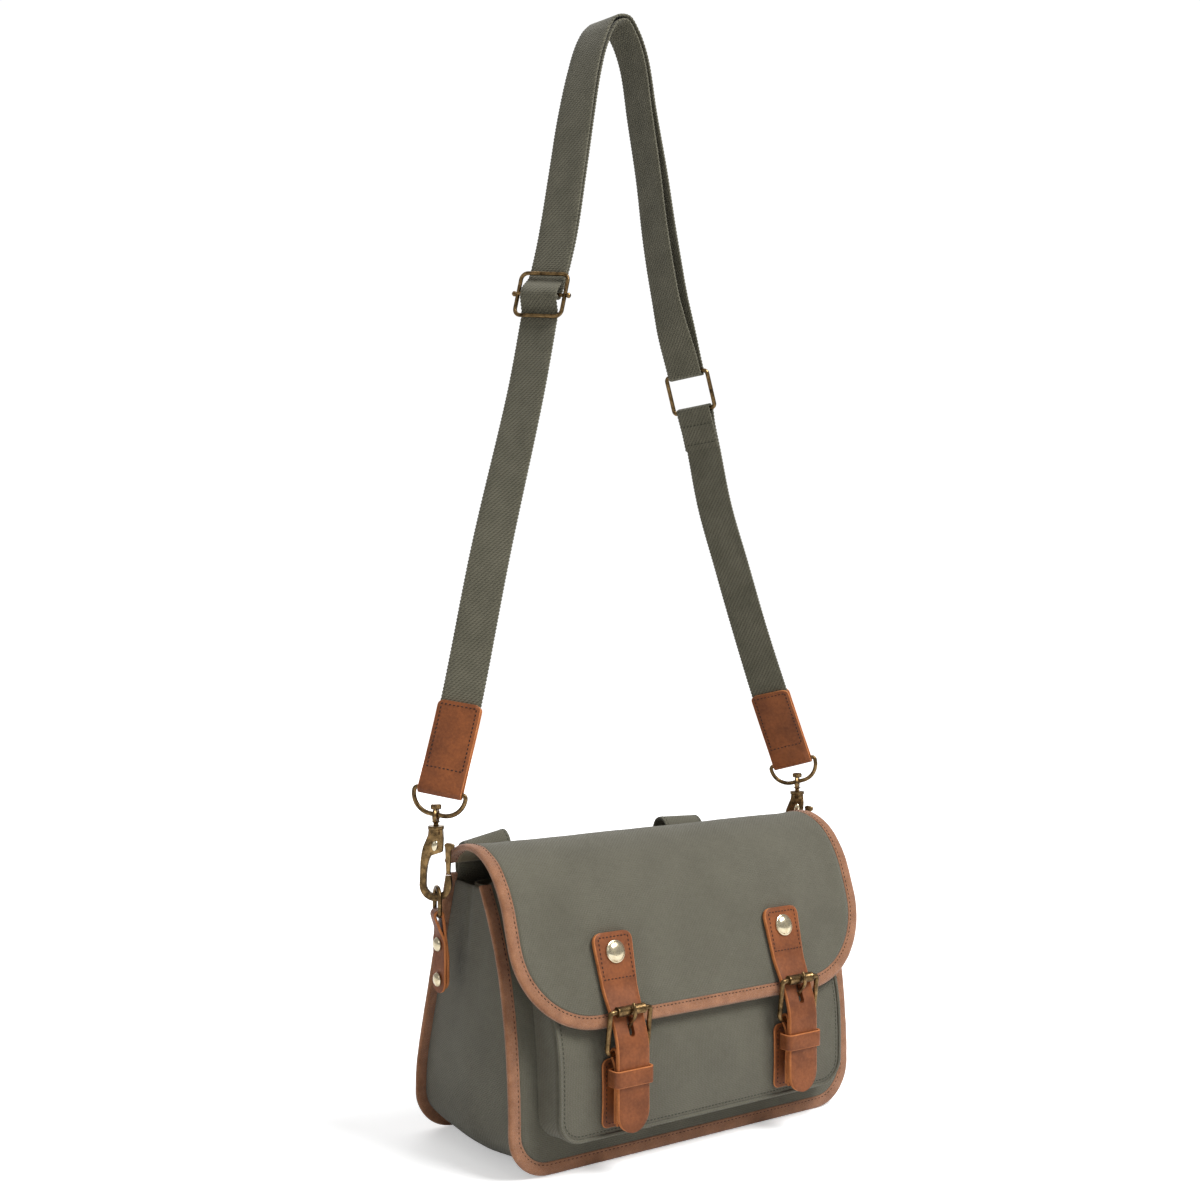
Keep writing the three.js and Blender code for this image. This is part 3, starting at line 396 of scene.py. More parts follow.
@dataclass
class Ribbon:
    """A line of frames that carries a section: a strap, a binding or a wire."""

    p: Grid
    w: Grid
    n: Grid
    width: Grid  # each frame's width, or 1 where the section has its own size
    closed: bool = False
    marks: Grid = field(init=False)

    def __post_init__(self) -> None:
        """Squares the frames up and measures the line."""
        self.w = unit(self.w)
        self.n = unit(self.n - self.w * np.einsum("ij,ij->i", self.n, self.w)[:, None])
        ends = self.p if not self.closed else np.vstack([self.p, self.p[:1]])
        self.marks = np.concatenate([[0], np.cumsum(np.linalg.norm(np.diff(ends, axis=0), axis=1))])

    @property
    def length(self) -> float:
        """The line's whole length."""
        return float(self.marks[-1])

    @classmethod
    def through(cls, frames: Sequence[tuple], pitch: float = 1.5) -> "Ribbon":
        """A ribbon that passes smoothly through a few frames of (point, width direction, face direction, width)."""
        rows = np.array([np.concatenate([p, w, n, [width]]) for p, w, n, width in frames])
        line = Line(rows[:, :3], Spacing.CENTRED)
        knots = line.marks[:: 40][: len(rows)]
        count = max(8, int(line.length / pitch))
        s = np.linspace(0, line.length, count + 1)
        rest = np.stack([np.interp(s, knots, rows[:, k]) for k in range(3, 10)], -1)
        blur = lambda v: np.vstack([v[:1], (v[:-2] + v[1:-1] * 2 + v[2:]) / 4, v[-1:]])
        for _ in range(3):
            rest = blur(rest)
        return cls(line.at(s), rest[:, :3], rest[:, 3:6], rest[:, 6])

    def at(self, s: Grid | float, across: Grid | float, lift: float = 0.0) -> tuple[Grid, Grid]:
        """Reads the ribbon's face.

        Args:
            s: distances along it.
            across: places over its width, in millimetres from the middle.
            lift: height over its middle, on the side that n points to.

        Returns:
            The points and the face directions.
        """
        own = self.marks[: len(self.p)]
        read = lambda v: np.stack([np.interp(s, own, v[:, k]) for k in range(3)], -1)
        p, w, n = read(self.p), unit(read(self.w)), unit(read(self.n))
        return p + w * np.asarray(across, float)[..., None] + n * lift, n

    def sweep(
        self, name: str, body: Body, section: Grid, finishes: Sequence, edge: Sequence[int] | None = None,
        slot: str | None = None, sharp: float = 50.0, shake: Callable | None = None,
    ) -> bpy.types.Object:
        """Carries a section along the ribbon.

        Args:
            name: the piece's name.
            body: the body that it rides on.
            section: points of (across as a share of the width, height in millimetres), in order round it.
            finishes: the materials.
            edge: each section segment's place in finishes.
            slot: the record's material slot; not used.
            sharp: the angle that shades as sharp.
            shake: moves the grid of points, given the points and the face directions.

        Returns:
            The new object.
        """
        k, n = len(section), len(self.p)
        across = self.width[:, None, None] * section[None, :, :1]
        grid = self.p[:, None] + self.w[:, None] * across + self.n[:, None] * section[None, :, 1:2]
        if shake is not None:
            grid = shake(grid, self.n[:, None] + np.zeros_like(grid))
        mean = float(np.mean(self.width))
        scaled = section * [mean, 1]
        girth = np.concatenate(
            [[0], np.cumsum(np.linalg.norm(np.diff(np.vstack([scaled, scaled[:1]]), axis=0), axis=1))]
        )
        faces, marks, uvs = [], [], []
        for i in range(n if self.closed else n - 1):
            nxt = (i + 1) % n
            for j in range(k):
                m = (j + 1) % k
                faces.append([i * k + j, i * k + m, nxt * k + m, nxt * k + j])
                u0, u1 = self.marks[i] * MM, self.marks[i + 1] * MM
                v0, v1 = girth[j] * MM, girth[j + 1] * MM
                uvs.append([(v0, u0), (v1, u0), (v1, u1), (v0, u1)])
                marks.append(0 if edge is None else edge[j])
        points = grid.reshape(-1, 3)
        if not self.closed:
            for start in (0, (n - 1) * k):
                hub = len(points)
                points = np.vstack([points, points[start : start + k].mean(0)])
                for j in range(k):
                    m = (j + 1) % k
                    faces.append([start + j, start + m, hub])
                    uvs.append(
                        [
                            (v * MM, u * MM) for v,
                            u in ((scaled[j][0], scaled[j][1]), (scaled[m][0], scaled[m][1]), (0, 0))
                        ]
                    )
                    marks.append(0 if edge is None else max(edge))
        return make_piece(name, body, points, faces, finishes, marks, uvs, sharp)


def flat_section(
    thickness: float, edge_round: float, width: float, crown: float = 0.0, steps: int = 8
) -> tuple[Grid, list]:
    """A strap's section with rounded edges.

    Args:
        thickness: the strap's thickness.
        edge_round: the edges' radius, as a share of half the thickness.
        width: the strap's width, which sets how far the rounding reaches in.
        crown: how much thicker the middle is.
        steps: points across each face.

    Returns:
        The section as width shares and heights, and each segment's finish: 0 on the faces, 1 on the edges.
    """
    half, r = thickness / 2, thickness / 2 * edge_round
    inset = r / width
    xs = np.linspace(-0.5 + inset, 0.5 - inset, steps)
    rise = crown * (1 - (xs * 2) ** 2)
    top = [(x, half + c) for x, c in zip(xs, rise)]
    arc = [
        (
            0.5 - inset + inset * math.cos(a), (half - r) * math.sin(a) + r * math.sin(a)
        ) for a in np.linspace(math.pi / 2, -math.pi / 2, 6)[1:-1]
    ]
    low = [(x, -half - c) for x, c in zip(xs[::-1], rise[::-1])]
    other = [(-x, -y) for x, y in arc]
    section = np.array(top + arc + low + other)
    marks = [0] * (steps - 1) + [1] * 5 + [0] * (steps - 1) + [1] * 5
    return section, marks


def round_section(radius: float, sides: int = 14) -> Grid:
    """A round wire's section."""
    turn = np.linspace(0, 2 * math.pi, sides, endpoint=False)
    return np.stack([np.cos(turn), np.sin(turn)], -1) * radius


def rounded_loop(half_wide: float, half_high: float, radii: Sequence[float], steps: int = 12) -> Grid:
    """A flat closed outline with four rounded corners.

    Args:
        half_wide: half its width.
        half_high: half its height.
        radii: the corners, from top right round by top left to bottom right.
        steps: points in each corner.

    Returns:
        Rows of (x, y, outward x, outward y).
    """
    rows = []
    for quarter, (radius, (sx, sy)) in enumerate(zip(radii, ((1, 1), (-1, 1), (-1, -1), (1, -1)))):
        for i in range(steps + 1):
            turn = (quarter + i / steps) * math.pi / 2
            nx, ny = math.cos(turn), math.sin(turn)
            rows.append(
                (sx * (half_wide - radius) + nx * radius, sy * (half_high - radius) + ny * radius, nx, ny)
            )
    kept = [r for k, r in enumerate(rows) if math.hypot(r[0] - rows[k - 1][0], r[1] - rows[k - 1][1]) > 1e-6]
    full = []
    for a, b in zip(kept, kept[1:] + kept[:1]):
        parts = max(1, int(math.hypot(b[0] - a[0], b[1] - a[1]) / 2.5))
        full += [tuple(np.array(a) + (np.array(b) - a) * i / parts) for i in range(parts)]
    return np.array(full)


def wire_loop(
    name: str, body: Body, loop: Grid, centre: Grid, x_axis: Grid, y_axis: Grid, section: Grid, finish: bpy.types.Material,
    edge: Sequence[int] | None = None, slot: str = "brass",
) -> bpy.types.Object:
    """A closed wire or band round a flat loop, laid at a centre on two axes, with the section's first axis outward."""
    x_axis = unit(x_axis)
    z_axis = unit(np.cross(x_axis, y_axis))
    y_axis = np.cross(z_axis, x_axis)
    p = centre + loop[:, :1] * x_axis + loop[:, 1:2] * y_axis
    out = loop[:, 2:3] * x_axis + loop[:, 3:4] * y_axis
    ribbon = Ribbon(p, out, np.repeat(z_axis[None], len(p), 0), np.ones(len(p)), closed=True)
    finishes = finish if isinstance(finish, (list, tuple)) else [finish]
    obj = ribbon.sweep(name, body, section, finishes, edge, slot=slot)
    return obj


def tube(name: str, body: Body, line: Line, radius: Callable | float, finish: bpy.types.Material, slot: str = "brass",
         flat: float = 1.0, pitch: float = 0.6) -> bpy.types.Object:
    """A rod along a line in the plane across X, with a radius that may change with the share along it."""
    s = np.linspace(0, line.length, max(6, int(line.length / pitch)))
    t = line.along(s)
    w = np.repeat(vec(1, 0, 0)[None], len(s), 0)
    n = np.cross(t, w)
    size = np.array([radius(k) for k in s / line.length]) if callable(radius) else np.full(len(s), radius)
    ring_turn = np.linspace(0, 2 * math.pi, 12, endpoint=False)
    rib = Ribbon(line.at(s), w, n, np.ones(len(s)))
    shape = np.stack([np.cos(ring_turn) * flat, np.sin(ring_turn)], -1)
    swell = lambda grid, _n: rib.p[:, None] + (grid - rib.p[:, None]) * size[:, None, None]
    return rib.sweep(name, body, shape, [finish], slot=slot, shake=swell)


def turned(
    name: str, body: Body, rows: Sequence, centre: Grid, axis: Grid, finish: bpy.types.Material,
    sides: int = 36, sharp: float = 35.0, squeeze: float = 1.0,
) -> bpy.types.Object:
    """A piece turned about an axis.

    Args:
        name: the piece's name.
        body: the body that it rides on.
        rows: (radius, height) from the axis at one end back to the axis at the other.
        centre: where height 0 is.
        axis: which way the height goes.
        finish: its material.
        sides: steps round it.
        sharp: the angle that shades as sharp.
        squeeze: narrows it across one direction.

    Returns:
        The new object.
    """
    axis = unit(np.asarray(axis, float))
    side = unit(np.cross(axis, vec(0.31, 0.2, 0.93) if abs(axis[2]) < 0.9 else vec(1, 0, 0)))
    other = np.cross(axis, side)
    turn = np.linspace(0, 2 * math.pi, sides, endpoint=False)
    points, faces = [], []
    for r, h in rows:
        for a in turn:
            points.append(centre + axis * h + side * r * math.cos(a) * squeeze + other * r * math.sin(a))
    for i in range(len(rows) - 1):
        for j in range(sides):
            m = (j + 1) % sides
            faces.append([i * sides + j, i * sides + m, (i + 1) * sides + m, (i + 1) * sides + j])
    if rows[0][0] > 0:
        faces.append(list(range(sides))[::-1])
    if rows[-1][0] > 0:
        faces.append([(len(rows) - 1) * sides + j for j in range(sides)])
    obj = make_piece(name, body, np.array(points), faces, [finish], sharp=sharp)
    weld(obj)
    return obj


def weld(obj: bpy.types.Object, reach: float = 1e-6) -> None:
    """Joins points that lie on each other."""
    bm = bmesh.new()
    bm.from_mesh(obj.data)
    bmesh.ops.remove_doubles(bm, verts=bm.verts, dist=reach)
    bmesh.ops.dissolve_degenerate(bm, edges=bm.edges, dist=reach)
    bmesh.ops.recalc_face_normals(bm, faces=bm.faces)
    bm.to_mesh(obj.data)
    bm.free()


def apply_modifiers(obj: bpy.types.Object) -> None:
    """Fixes a piece's modifiers into its mesh."""
    graph = bpy.context.evaluated_depsgraph_get()
    made = bpy.data.meshes.new_from_object(obj.evaluated_get(graph))
    obj.modifiers.clear()
    obj.data = made


def softened(
    name: str, node: str, finish: bpy.types.Material, bevel: float = 0.45
) -> bpy.types.Object:
    """A cast metal piece: a frame node's shape with its edges rounded over.

    Args:
        name: the piece's name.
        node: the node that it stands for.
        finish: its material.
        bevel: the rounding, in millimetres.

    Returns:
        The new object.
    """
    source = frame["nodes"][node]
    mesh = source.data.copy()
    mesh.materials.clear()
    mesh.materials.append(finish)
    obj = bpy.data.objects.new(name, mesh)
    bpy.context.scene.collection.objects.link(obj)
    bm = bmesh.new()
    bm.from_mesh(mesh)
    bmesh.ops.remove_doubles(bm, verts=bm.verts, dist=2e-5)
    bmesh.ops.dissolve_limit(bm, angle_limit=math.radians(3), verts=bm.verts, edges=bm.edges)
    bm.to_mesh(mesh)
    bm.free()
    rounding = obj.modifiers.new("rounded", "BEVEL")
    rounding.width = bevel * MM
    rounding.segments = 3
    rounding.limit_method = "ANGLE"
    rounding.angle_limit = math.radians(28)
    rounding.use_clamp_overlap = True
    apply_modifiers(obj)
    obj.data.shade_smooth()
    obj.data.set_sharp_from_angle(angle=math.radians(50))
    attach(obj, source["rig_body"])
    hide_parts(node)
    LOG.info("%s: softened %s", name, node)
    return obj


def stitches(
    name: str, body: Body, points: Grid, normals: Grid, finish: bpy.types.Material, pitch: float = 3.0, length: float = 2.0,
    radius: float = 0.38, sink: float = 0.12,
) -> bpy.types.Object:
    """A row of stitches along a line on a surface, each a short thread that dips at its ends.

    Args:
        name: the piece's name.
        body: the body that it rides on.
        points: the line.
        normals: the surface's directions along it.
        finish: the thread.
        pitch: from stitch to stitch.
        length: a stitch's own length.
        radius: the thread's radius.
        sink: how far the stitch's middle lies under a full radius above the surface.

    Returns:
        The new object.
    """
    marks = np.concatenate([[0], np.cumsum(np.linalg.norm(np.diff(points, axis=0), axis=1))])
    count = max(1, int(marks[-1] / pitch))
    step = marks[-1] / count
    read = lambda v, s: np.stack([np.interp(s, marks, v[:, k]) for k in range(3)], -1)
    all_points, faces = [], []
    shape = [
        (-0.5, 0.05, -0.7), (-0.42, 0.75, -0.35), (-0.2, 1, 0), (0.2, 1, 0), (0.42, 0.75, -0.35),
        (0.5, 0.05, -0.7)
    ]
    for k in range(count):
        s = (k + 0.5) * step
        c = read(points, s)
        n = unit(read(normals, s))
        t = unit(read(points, s + 0.5) - read(points, s - 0.5))
        b = np.cross(t, n)
        base = len(all_points)
        for share, size, drop in shape:
            for a in np.linspace(0, 2 * math.pi, 6, endpoint=False):
                off = (b * math.cos(a) + n * math.sin(a) * 0.8) * radius * size
                all_points.append(c + t * share * length + n * (radius * 0.5 - sink + drop * radius) + off)
        for i in range(len(shape) - 1):
            for j in range(6):
                m = (j + 1) % 6
                faces.append(
                    [base + i * 6 + j, base + i * 6 + m, base + (i + 1) * 6 + m, base + (i + 1) * 6 + j]
                )
        faces.append([base + j for j in range(6)][::-1])
        faces.append([base + (len(shape) - 1) * 6 + j for j in range(6)])
    return make_piece(name, body, np.array(all_points), faces, [finish], sharp=80)


# ---- Finishes ----


def tint(red: float, green: float, blue: float) -> tuple[float, float, float, float]:
    """A colour from its usual 0-255 numbers, as the linear values that shaders take."""
    lin = [
        (c / 255 / 12.92) if c <= 10.31 else ((c / 255 + 0.055) / 1.055) ** 2.4 for c in (red, green, blue)
    ]
    return lin[0], lin[1], lin[2], 1.0


class Tree:
    """Adds and joins nodes in one node tree."""

    def __init__(self, tree: bpy.types.NodeTree) -> None:
        """Takes the tree."""
        self.tree = tree

    def put(self, kind: str, wires: dict | None = None, **settings: object) -> bpy.types.Node:
        """Adds a node.

        Args:
            kind: the node's type, without its ShaderNode prefix.
            wires: each input's name or place, with its value or the socket that feeds it.
            settings: the node's own settings.

        Returns:
            The new node.
        """
        node = self.tree.nodes.new("ShaderNode" + kind)
        for key, value in settings.items():
            setattr(node, key, value)
        for key, value in (wires or {}).items():
            if isinstance(value, bpy.types.NodeSocket):
                self.tree.links.new(value, node.inputs[key])
            else:
                node.inputs[key].default_value = value
        return node

    def maths(self, operation: str, a: object, b: object = 0.0, c: object = 0.0) -> bpy.types.NodeSocket:
        """A sum of one to three numbers or sockets."""
        return self.put("Math", {0: a, 1: b, 2: c}, operation=operation).outputs[0]

    def blend(self, share: object, a: object, b: object) -> bpy.types.NodeSocket:
        """A colour between two colours."""
        node = self.put("Mix", {0: share, 6: a, 7: b}, data_type="RGBA")
        return node.outputs[2]

    def spread(
        self, value: object, low: float, high: float, out_low: object = 0.0, out_high: object = 1.0
    ) -> bpy.types.NodeSocket:
        """A number stretched from one range to another, and held inside it."""
        return self.put("MapRange", {0: value, 1: low, 2: high, 3: out_low, 4: out_high}).outputs[0]


class Effect(Enum):
    """The shared surface effects, each a node group that is built once."""

    PLAIN_WEAVE = "plain_weave"
    TWILL_WEAVE = "twill_weave"
    MOTTLE = "mottle"
    GRAIN = "grain"

    def group(self) -> bpy.types.NodeTree:
        """The effect's node group."""
        found = bpy.data.node_groups.get(self.value)
        return found if found else EFFECT_MAKERS[self]()


def new_group(name: str, takes: Sequence[tuple[str, str, object]], gives: Sequence[tuple[str, str]]) -> tuple:
    """Starts a node group.

    Args:
        name: the group's name.
        takes: each input's name, socket type and usual value.
        gives: each output's name and socket type.

    Returns:
        The group, a Tree for it, its input node and its output node.
    """
    group = bpy.data.node_groups.new(name, "ShaderNodeTree")
    for label, kind, value in takes:
        socket = group.interface.new_socket(label, in_out="INPUT", socket_type=kind)
        if value is not None:
            socket.default_value = value
    for label, kind in gives:
        group.interface.new_socket(label, in_out="OUTPUT", socket_type=kind)
    tree = Tree(group)
    return group, tree, group.nodes.new("NodeGroupInput"), group.nodes.new("NodeGroupOutput")


def plain_weave() -> bpy.types.NodeTree:
    """Threads that pass over and under each other one by one."""
    group, t, takes, gives = new_group(
        "plain_weave",
        [("Place", "NodeSocketVector", None), ("Pitch", "NodeSocketFloat", 0.001)],
        [("Height", "NodeSocketFloat"), ("Gap", "NodeSocketFloat")],
    )
    wobble = t.put("TexNoise", {"Vector": takes.outputs["Place"], "Scale": 90.0, "Detail": 2.0})
    nudged = t.put("VectorMath", {0: wobble.outputs["Color"], 1: (0.0006, 0.0006, 0.0)}, operation="MULTIPLY")
    moved = t.put("VectorMath", {0: takes.outputs["Place"], 1: nudged.outputs[0]}, operation="ADD")
    xyz = t.put("SeparateXYZ", {0: moved.outputs[0]})
    turn = t.maths("DIVIDE", math.pi, takes.outputs["Pitch"])
    su = t.maths("SINE", t.maths("MULTIPLY", xyz.outputs[0], turn))
    sv = t.maths("SINE", t.maths("MULTIPLY", xyz.outputs[1], turn))
    over = t.spread(t.maths("MULTIPLY", su, sv), -0.08, 0.08)
    warp, weft = t.maths("ABSOLUTE", su), t.maths("ABSOLUTE", sv)
    mixed = t.put("Mix", {0: over, 2: warp, 3: weft}, data_type="FLOAT").outputs[0]
    t.tree.links.new(mixed, gives.inputs["Height"])
    # Gap marks the low hollows between threads, which the cloth paints darker as painted shade.
    t.tree.links.new(t.spread(mixed, 0.55, 0.0), gives.inputs["Gap"])
    return group


def twill_weave() -> bpy.types.NodeTree:
    """Slanting ribs across a strap, with the cross threads showing between them."""
    group, t, takes, gives = new_group(
        "twill_weave",
        [("Place", "NodeSocketVector", None), ("Pitch", "NodeSocketFloat", 0.002)],
        [("Height", "NodeSocketFloat"), ("Gap", "NodeSocketFloat")],
    )
    xyz = t.put("SeparateXYZ", {0: takes.outputs["Place"]})
    turn = t.maths("DIVIDE", 2 * math.pi, takes.outputs["Pitch"])
    slant = t.maths("ADD", xyz.outputs[0], t.maths("MULTIPLY", xyz.outputs[1], 0.85))
    rib = t.maths("MULTIPLY_ADD", t.maths("SINE", t.maths("MULTIPLY", slant, turn)), 0.5, 0.5)
    cross = t.maths(
        "MULTIPLY_ADD", t.maths("SINE", t.maths("MULTIPLY", xyz.outputs[1], t.maths("MULTIPLY", turn, 1.9))),
        0.5, 0.5
    )
    fuzz = t.put("TexNoise", {"Vector": takes.outputs["Place"], "Scale": 1500.0, "Detail": 2.0})
    height = t.maths(
        "ADD", t.maths("MULTIPLY_ADD", rib, 0.62, t.maths("MULTIPLY", cross, 0.26)),
        t.maths("MULTIPLY", fuzz.outputs[0], 0.25)
    )
    t.tree.links.new(height, gives.inputs["Height"])
    # Gap marks the low hollows between the ribs, which the webbing paints darker as painted shade.
    t.tree.links.new(t.spread(height, 0.55, 0.15), gives.inputs["Gap"])
    return group


def mottle() -> bpy.types.NodeTree:
    """Soft uneven colour between a light and a dark shade."""
    group, t, takes, gives = new_group(
        "mottle",
        [(
            "Place", "NodeSocketVector", None
        ), ("Size", "NodeSocketFloat", 30.0), ("Light", "NodeSocketColor", None),
         ("Dark", "NodeSocketColor", None), ("Strength", "NodeSocketFloat", 1.0)],
        [("Color", "NodeSocketColor"), ("Value", "NodeSocketFloat")],
    )
    broad = t.put(
        "TexNoise",
        {"Vector": takes.outputs["Place"], "Scale": takes.outputs["Size"], "Detail": 5.0, "Roughness": 0.6}
    )
    fine = t.put(
        "TexNoise",
        {
            "Vector": takes.outputs["Place"], "Scale": t.maths("MULTIPLY", takes.outputs["Size"], 11.0),
            "Detail": 3.0
        }
    )
    both = t.maths("MULTIPLY_ADD", broad.outputs[0], 0.7, t.maths("MULTIPLY", fine.outputs[0], 0.3))
    value = t.spread(both, 0.36, 0.64)
    share = t.maths("MULTIPLY", value, takes.outputs["Strength"])
    t.tree.links.new(t.blend(share, takes.outputs["Light"], takes.outputs["Dark"]), gives.inputs["Color"])
    t.tree.links.new(value, gives.inputs["Value"])
    return group


def grain() -> bpy.types.NodeTree:
    """Pores and creases of hide, or the nap of suede when drawn fine."""
    group, t, takes, gives = new_group(
        "grain",
        [("Place", "NodeSocketVector", None), ("Size", "NodeSocketFloat", 900.0)],
        [("Height", "NodeSocketFloat"), ("Pores", "NodeSocketFloat")],
    )
    cells = t.put(
        "TexVoronoi", {"Vector": takes.outputs["Place"], "Scale": takes.outputs["Size"]},
        feature="DISTANCE_TO_EDGE"
    )
    soft = t.put(
        "TexNoise",
        {
            "Vector": takes.outputs["Place"], "Scale": t.maths("MULTIPLY", takes.outputs["Size"], 0.6),
            "Detail": 6.0, "Roughness": 0.7
        }
    )
    height = t.maths(
        "MULTIPLY_ADD", t.spread(cells.outputs[0], 0.0, 0.16), 0.45,
        t.maths("MULTIPLY", soft.outputs[0], 0.75)
    )
    t.tree.links.new(height, gives.inputs["Height"])
    t.tree.links.new(t.spread(soft.outputs[0], 0.38, 0.62), gives.inputs["Pores"])
    return group


EFFECT_MAKERS = {
    Effect.PLAIN_WEAVE: plain_weave, Effect.TWILL_WEAVE: twill_weave, Effect.MOTTLE: mottle, Effect.GRAIN: grain,
}


def blank(name: str) -> tuple[bpy.types.Material, Tree, bpy.types.Node]:
    """A new material with its tree and its shader."""
    material = bpy.data.materials.new(name)
    material.use_nodes = True
    tree = Tree(material.node_tree)
    return material, tree, material.node_tree.nodes["Principled BSDF"]


def use_effect(tree: Tree, effect: Effect, wires: dict) -> bpy.types.Node:
    """Places an effect's group in a material."""
    node = tree.put("Group", None, node_tree=effect.group())
    for key, value in wires.items():
        if isinstance(value, bpy.types.NodeSocket):
            tree.tree.links.new(value, node.inputs[key])
        else:
            node.inputs[key].default_value = value
    return node


@dataclass(frozen=True)
class Cloth:
    """Woven cotton, waxed or plain."""

    name: str
    light: tuple
    dark: tuple
    # the darker colour painted into the hollows between threads as painted shade
    thread_shade: tuple
    effect: Effect
    pitch: float
    bump: float
    roughness: float = 0.82
    mottle_size: float = 26.0
    mottle_strength: float = 1.0
    sheen: float = 0.15

    def make(self) -> bpy.types.Material:
        """Builds the material."""
        material, t, shader = blank(self.name)
        place = t.put("TexCoord")
        weave = use_effect(t, self.effect, {"Place": place.outputs["UV"], "Pitch": self.pitch})
        colour = use_effect(t, Effect.MOTTLE, {
            "Place": place.outputs["Object"], "Size": self.mottle_size, "Light": self.light, "Dark": self.dark,
            "Strength": self.mottle_strength,
        })
        # Painted shade: where the weave's Gap marks the hollows between threads, the colour is blended towards the
        # darker gap colour.
        shaded = t.blend(
            t.maths("MULTIPLY", weave.outputs["Gap"], 0.62), colour.outputs["Color"], self.thread_shade
        )
        t.tree.links.new(shaded, shader.inputs["Base Color"])
        t.tree.links.new(
            t.spread(colour.outputs["Value"], 0, 1, self.roughness - 0.07, self.roughness + 0.07),
            shader.inputs["Roughness"]
        )
        rumple = t.put("TexNoise", {"Vector": place.outputs["Object"], "Scale": 140.0, "Detail": 4.0})
        height = t.maths("MULTIPLY_ADD", rumple.outputs[0], 0.5, weave.outputs["Height"])
        bump = t.put("Bump", {"Strength": self.bump, "Distance": 0.0004, "Height": height})
        t.tree.links.new(bump.outputs[0], shader.inputs["Normal"])
        shader.inputs["Sheen Weight"].default_value = self.sheen
        shader.inputs["Sheen Roughness"].default_value = 0.6
        shader.inputs["Specular IOR Level"].default_value = 0.25
        return material


@dataclass(frozen=True)
class Hide:
    """Leather or suede."""

    name: str
    light: tuple
    dark: tuple
    roughness: float
    grain_size: float
    bump: float
    mottle_size: float = 45.0
    sheen: float = 0.0
    specular: float = 0.4
    pores: float = 0.25

    def make(self) -> bpy.types.Material:
        """Builds the material."""
        material, t, shader = blank(self.name)
        place = t.put("TexCoord").outputs["Object"]
        colour = use_effect(
            t, Effect.MOTTLE,
            {
                "Place": place, "Size": self.mottle_size, "Light": self.light, "Dark": self.dark,
                "Strength": 1.0
            }
        )
        grain_node = use_effect(t, Effect.GRAIN, {"Place": place, "Size": self.grain_size})
        pored = t.blend(
            t.maths("MULTIPLY", grain_node.outputs["Pores"], self.pores), colour.outputs["Color"], self.dark
        )
        t.tree.links.new(pored, shader.inputs["Base Color"])
        t.tree.links.new(
            t.spread(colour.outputs["Value"], 0, 1, self.roughness - 0.06, self.roughness + 0.1),
            shader.inputs["Roughness"]
        )
        bump = t.put(
            "Bump", {"Strength": self.bump, "Distance": 0.0005, "Height": grain_node.outputs["Height"]}
        )
        t.tree.links.new(bump.outputs[0], shader.inputs["Normal"])
        shader.inputs["Sheen Weight"].default_value = self.sheen
        shader.inputs["Specular IOR Level"].default_value = self.specular
        return material


@dataclass(frozen=True)
class Metal:
    """Plated hardware, bright or antiqued."""

    name: str
    bright: tuple
    dark: tuple
    roughness: float
    tarnish: float = 1.0
    size: float = 220.0

    def make(self) -> bpy.types.Material:
        """Builds the material."""
        material, t, shader = blank(self.name)
        place = t.put("TexCoord").outputs["Object"]
        colour = use_effect(
            t, Effect.MOTTLE,
            {
                "Place": place, "Size": self.size, "Light": self.bright, "Dark": self.dark,
                "Strength": self.tarnish
            }
        )
        t.tree.links.new(colour.outputs["Color"], shader.inputs["Base Color"])
        t.tree.links.new(
            t.spread(colour.outputs["Value"], 0, 1, self.roughness - 0.07, self.roughness + 0.14),
            shader.inputs["Roughness"]
        )
        scuff = use_effect(t, Effect.GRAIN, {"Place": place, "Size": 700.0})
        bump = t.put("Bump", {"Strength": 0.08, "Distance": 0.0002, "Height": scuff.outputs["Height"]})
        t.tree.links.new(bump.outputs[0], shader.inputs["Normal"])
        shader.inputs["Metallic"].default_value = 1.0
        return material


class Finishes:
    """Every finish on the bag, made once."""

    def __init__(self) -> None:
        """Builds them all."""
        self.canvas = Cloth(
            "waxed_canvas", tint(99, 96, 81), tint(85, 82, 69), tint(53, 51, 42), Effect.PLAIN_WEAVE, 0.0013, 0.7, mottle_strength=0.6,
        ).make()
        self.lining = Cloth(
            "lining_cloth", tint(128, 117, 92), tint(112, 102, 78), tint(82, 74, 56), Effect.PLAIN_WEAVE,
            0.0007, 0.3
        ).make()
        self.webbing = Cloth(
            "twill_webbing", tint(105, 101, 84), tint(91, 88, 72), tint(36, 35, 27), Effect.TWILL_WEAVE, 0.0030, 1.0,
            roughness=0.88, mottle_size=60.0,
        ).make()
        self.suede = Hide(
            "suede_binding", tint(174, 122, 88), tint(136, 92, 64), 0.92, 1500.0, 0.7, 90.0, 0.35, 0.15, 0.4
        ).make()
        self.leather = Hide(
            "saddle_leather", tint(146, 83, 43), tint(104, 56, 28), 0.5, 1100.0, 0.22, specular=0.32
        ).make()
        self.raw_edge = Hide(
            "raw_leather_edge", tint(206, 128, 72), tint(168, 98, 52), 0.75, 1800.0, 0.5, 120.0
        ).make()
        self.thread = Hide("dark_thread", tint(52, 28, 18), tint(36, 19, 12), 0.7, 4000.0, 0.4, 300.0).make()
        self.pale_thread = Hide(
            "canvas_thread", tint(58, 58, 49), tint(44, 44, 36), 0.8, 4000.0, 0.4, 300.0
        ).make()
        self.brass = Metal("antique_brass", tint(158, 128, 86), tint(54, 42, 28), 0.3).make()
        self.pale_brass = Metal("pale_brass", tint(238, 226, 196), tint(206, 188, 150), 0.2, 0.7).make()
        self.steel = Metal("plated_steel", tint(200, 196, 186), tint(150, 146, 138), 0.3).make()


# ---- The bag's body ----


def stand_for(obj: bpy.types.Object, *nodes: str) -> bpy.types.Object:
    """Hides the frame nodes that a piece stands for."""
    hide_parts(*nodes)
    return obj


